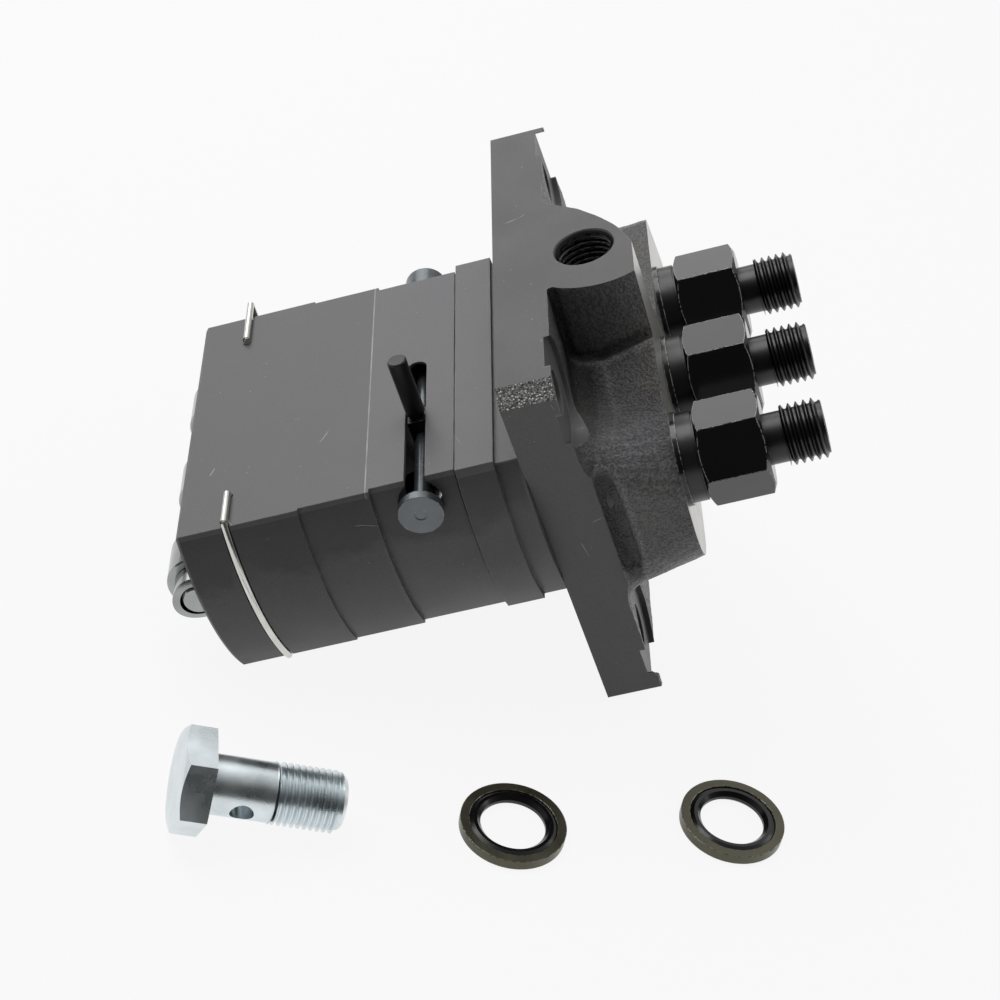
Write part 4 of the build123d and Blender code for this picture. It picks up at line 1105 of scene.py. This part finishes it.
# %% Machining
cutter_near, cutter_far, cutter_top, cutter_low = -90, 95, 40, -60
bolt_levels, near_bolt_in, far_bolt_in = (22.7, -45.0), 10.4, 8.8
spotface_radius, bolt_hole_radius, bore_radius = 10.9, 4.5, 7.55
bolt_places = [(near_edge(y) + near_bolt_in, y) for y in bolt_levels]
bolt_places += [(far_edge(y) - far_bolt_in, y) for y in bolt_levels]

stock = bmesh.new()
upright_prism(stock, [(-80, flange_low), (90, flange_low), (90, flange_top), (-80, flange_top)],
              0, head_top)
skin = machine(skin, stock, "INTERSECT")
sides = bmesh.new()
upright_prism(sides, [(near_edge(cutter_top), cutter_top), (cutter_near, cutter_top),
                      (cutter_near, cutter_low), (near_edge(cutter_low), cutter_low)], -1, 12)
upright_prism(sides, [(far_edge(cutter_top), cutter_top), (far_edge(cutter_low), cutter_low),
                      (cutter_far, cutter_low), (cutter_far, cutter_top)], -1, 40)
skin = machine(skin, sides)
spotfaces = bmesh.new()
for x, y in bolt_places:
    upright_prism(spotfaces, circle(x, y, spotface_radius), spotface_floor, spotface_floor + 14)
skin = machine(skin, spotfaces)
drills = bmesh.new()
for x, y in bolt_places:
    upright_prism(drills, circle(x, y, bolt_hole_radius), -1, 12)
for x in row_places:
    upright_prism(drills, circle(x, 0, bore_radius), -1, 30)
skin = machine(skin, drills)
print("machined casting has", len(skin.polygons), "faces")

# %% [markdown]
# The hole of the fuel inlet is drilled square to the flat, and its mouth has a small chamfer so
# that a bolt finds its way in. A stack of rings with their own radii makes drill and chamfer in
# one cutter.

# %% Fuel inlet's hole
# Depths and radii from the bottom of the hole to its small chamfer
inlet = bmesh.new()
inlet_steps = [(11.0, 6.0), (32.2, 6.0), (32.5, 6.3), (33.0, 6.8)]
inlet_rings = [[inlet.verts.new((x, depth, z)) for x, z in circle(*inlet_at, radius)]
               for depth, radius in inlet_steps]
inlet.faces.new(inlet_rings[0])
inlet.faces.new(inlet_rings[-1])
for low, high in zip(inlet_rings, inlet_rings[1:]):
    for number in range(len(low)):
        after = (number + 1) % len(low)
        inlet.faces.new((low[number], low[after], high[after], high[number]))
skin = machine(skin, inlet)
print("with its inlet the casting has", len(skin.polygons), "faces")

# %% [markdown]
# A cut face is told from the sand's skin by where it lies: on one of the planes or round walls
# that a tool made. The flat faces get the machined finish, the broken corner and the bare face
# under the holders get theirs, and everything else gets the cast one. Painting by hand would do
# it as well, but it would have to be done again after each change of a size.

# %% Which tool made which face
machined_kind, cast_kind, broken_kind, bare_kind = range(4)
near_plane, spot_spare = 0.02, 0.05
inlet_wall, inlet_bottom = 7.2, 10.5
# The fracture's plane crosses the upper near corner of the flange
break_way, break_drop, break_from, break_reach = (0.749, 0.662), 3.3, 28.8, 0.5

centres = np.empty(len(skin.polygons) * 3)
skin.polygons.foreach_get("center", centres)
x, y, z = centres.reshape(-1, 3).T
machined = (abs(y - flange_top) < near_plane) | (abs(y - flange_low) < near_plane)
machined |= (abs(z - head_top) < near_plane) | (z < near_plane)
machined |= (abs(x - near_edge(y)) < near_plane) & (z < 12.1)
machined |= abs(x - far_edge(y)) < near_plane
machined |= abs(z - spotface_floor) < near_plane
for bolt_x, bolt_y in bolt_places:
    machined |= np.hypot(x - bolt_x, y - bolt_y) < spotface_radius + spot_spare
machined |= (np.hypot(x - inlet_at[0], z - inlet_at[1]) < inlet_wall) & (y > inlet_bottom)
kinds = np.where(machined, machined_kind, cast_kind)
corner_line = ((x - near_edge(flange_top)) * break_way[0]
               - (y - flange_top + break_drop) * break_way[1])
at_corner = (corner_line < break_reach) & (y > break_from) & (z < flange_thick + 0.3)
kinds[~machined & at_corner] = broken_kind
kinds[abs(z - head_top) < near_plane] = bare_kind
skin.polygons.foreach_set("material_index", kinds.astype(np.int32))
print("cast faces:", int((~machined).sum()), "machined faces:", int(machined.sum()))

# %% [markdown]
# How much the skin bends at a point is the sum of the distances a little to each side of it,
# less six times its own: positive on a crest and negative in a valley. Pointiness would need no
# attribute, but it depends on the mesh, and this doesn't.

# %% How much the skin bends
places = np.empty(len(skin.vertices) * 3)
skin.vertices.foreach_get("co", places)
places = places.reshape(-1, 3)
reach = 0.9
around = sum(casting_distance(places + side * offset)
             for offset in np.eye(3) * reach for side in (1, -1))
bend = (around - 6 * casting_distance(places)) / reach**2
# The cast finish paints this bend as a highlight on crests and a shade in valleys
layer = skin.attributes.new("skin_bend", "FLOAT", "POINT")
layer.data.foreach_set("value", np.clip(bend, -1, 1).astype(np.float32))
print("skin bends from", round(float(np.percentile(bend, 5)), 2),
      "to", round(float(np.percentile(bend, 95)), 2), "per mm")

# %% [markdown]
# The milled body and the casting were one block of iron, so they become one piece. The body is
# the solid, cut off at the flange, and it keeps its machined finish. The piece stands for the
# solid and rides on the pump.

# %% Body and casting in one piece
body = copy_cut("pump_body", Vector((0, 0, 0)), plunger_way)
skin.transform(upright @ Matrix.Scale(mm, 4))
body.from_mesh(skin)
body_piece = placed_piece("blackened_pump_body", body, "pump", machined_iron, 0.55)
for finish in (cast_iron, broken_iron, bare_iron):
    body_piece.data.materials.append(finish)
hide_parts("pump_body")
print(body_piece.name, len(body_piece.data.polygons), "faces")

# %% [markdown]
# Each delivery valve holder ends in a 12 mm thread of 1.5 mm pitch for the pipe's union nut.
# A 60 degree thread is 0.61 of its pitch deep. In the end is the cone that the pipe's own cone
# is pressed into, and the small hole that the fuel leaves by. The hexagon is polished black, and
# the collar, neck and thread are duller, so faces outside the hexagon get the duller finish.

# %% Delivery valve holders
outlet_pitch = 1.5 * mm
thread_depth_share = 0.61
outlet_chamfer = 0.9 * mm
cone_mouth, cone_depth, passage = 2.6 * mm, 2.8 * mm, 1.0 * mm
hexagon_from, hexagon_to = 3.4 * mm, 16.6 * mm

for number in (1, 2, 3):
    mount = mounts[f"outlet_{number}"]
    way = Vector(mount["axis"])
    crest = mount["dims"]["r_mm"] * mm
    length = mount["dims"]["length_mm"] * mm + outlet_chamfer
    start = Vector(mount["pos_m"]) - way * mount["dims"]["length_mm"] * mm / 2
    root = crest - outlet_pitch * thread_depth_share
    threaded = bmesh.new()
    rings = thread_rings(threaded, length, outlet_pitch, crest, root, outlet_chamfer)
    close_ring(threaded, rings[0], passage, 0.0)
    mouth = close_ring(threaded, rings[-1], cone_mouth, length)
    close_ring(threaded, mouth, passage, length - cone_depth)
    threaded.transform(along(start, way))
    holder = copy_cut(f"delivery_valve_holder_{number}", start, way)
    for face in holder.faces:
        below_start = (start - face.calc_center_median()).dot(way)
        face.material_index = 0 if hexagon_from < below_start < hexagon_to else 1
    for face in threaded.faces:
        face.material_index = 1
    add_part(holder, threaded)
    piece = placed_piece(f"threaded_holder_{number}", holder, "pump", black_oxide,
                         thread_crease)
    piece.data.materials.append(black_thread)
    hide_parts(f"delivery_valve_holder_{number}")
    print(piece.name, len(piece.data.polygons), "faces")

# %% [markdown]
# The banjo bolt's thread has a pitch of 1.25 mm, and its shank is as thick as the thread's
# middle, because such bolts are rolled. The bore that fuel flows through opens at the tip. The
# head and the cross hole are the solid's own.

# %% Banjo bolt
bolt_pitch = 1.25 * mm
bolt_bore = 2.5 * mm
bolt_tip, bolt_start, mouth_depth = 0.8 * mm, 0.5 * mm, 0.4 * mm
mount = mounts["banjo_thread"]
way = Vector(mount["axis"])
crest = mount["dims"]["r_mm"] * mm
length = mount["dims"]["length_mm"] * mm + bolt_tip
start = Vector(mount["pos_m"]) - way * mount["dims"]["length_mm"] * mm / 2
threaded = bmesh.new()
root = crest - bolt_pitch * thread_depth_share
rings = thread_rings(threaded, length, bolt_pitch, crest, root, bolt_tip * 1.6, bolt_start)
close_ring(threaded, rings[0], bolt_bore, 0.0)
tip_mouth = close_ring(threaded, rings[-1], bolt_bore * 1.12, length)
tip_bore = close_ring(threaded, tip_mouth, bolt_bore, length - mouth_depth)
close_ring(threaded, tip_bore, bolt_bore, 0.0)
threaded.transform(along(start, way))
bolt = copy_cut("banjo_bolt", start, way)
add_part(bolt, threaded)
bolt_piece = placed_piece("threaded_banjo_bolt", bolt, "pump", zinc_plate, thread_crease)
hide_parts("banjo_bolt")
print(bolt_piece.name, len(bolt_piece.data.polygons), "faces")

# %% [markdown]
# In the fuel inlet the thread is on the inside: its ridge stands in from the wall of the hole.
# The same rings serve, with the crest as the smaller radius. An inside thread is 0.54 of its
# pitch deep. It was cut before the bath, so it is as black as the holders.

# %% Fuel inlet thread
inner_depth_share = 0.54
inlet_length, wall_gap = 14.0 * mm, 0.01 * mm
mount = mounts["fuel_inlet"]
way = Vector(mount["axis"])
wall = mount["dims"]["r_mm"] * mm
inlet_thread = bmesh.new()
inlet_mouth = Vector(mount["pos_m"]) + way * mount["dims"]["length_mm"] * mm / 2
rings = thread_rings(inlet_thread, inlet_length, bolt_pitch,
                     wall - bolt_pitch * inner_depth_share, wall - wall_gap, 0.0)
inlet_thread.transform(along(inlet_mouth - way * inlet_length, way))
inlet_piece = placed_piece("inlet_thread", inlet_thread, "pump", black_oxide,
                           thread_crease)
print(inlet_piece.name, len(inlet_piece.data.polygons), "faces")
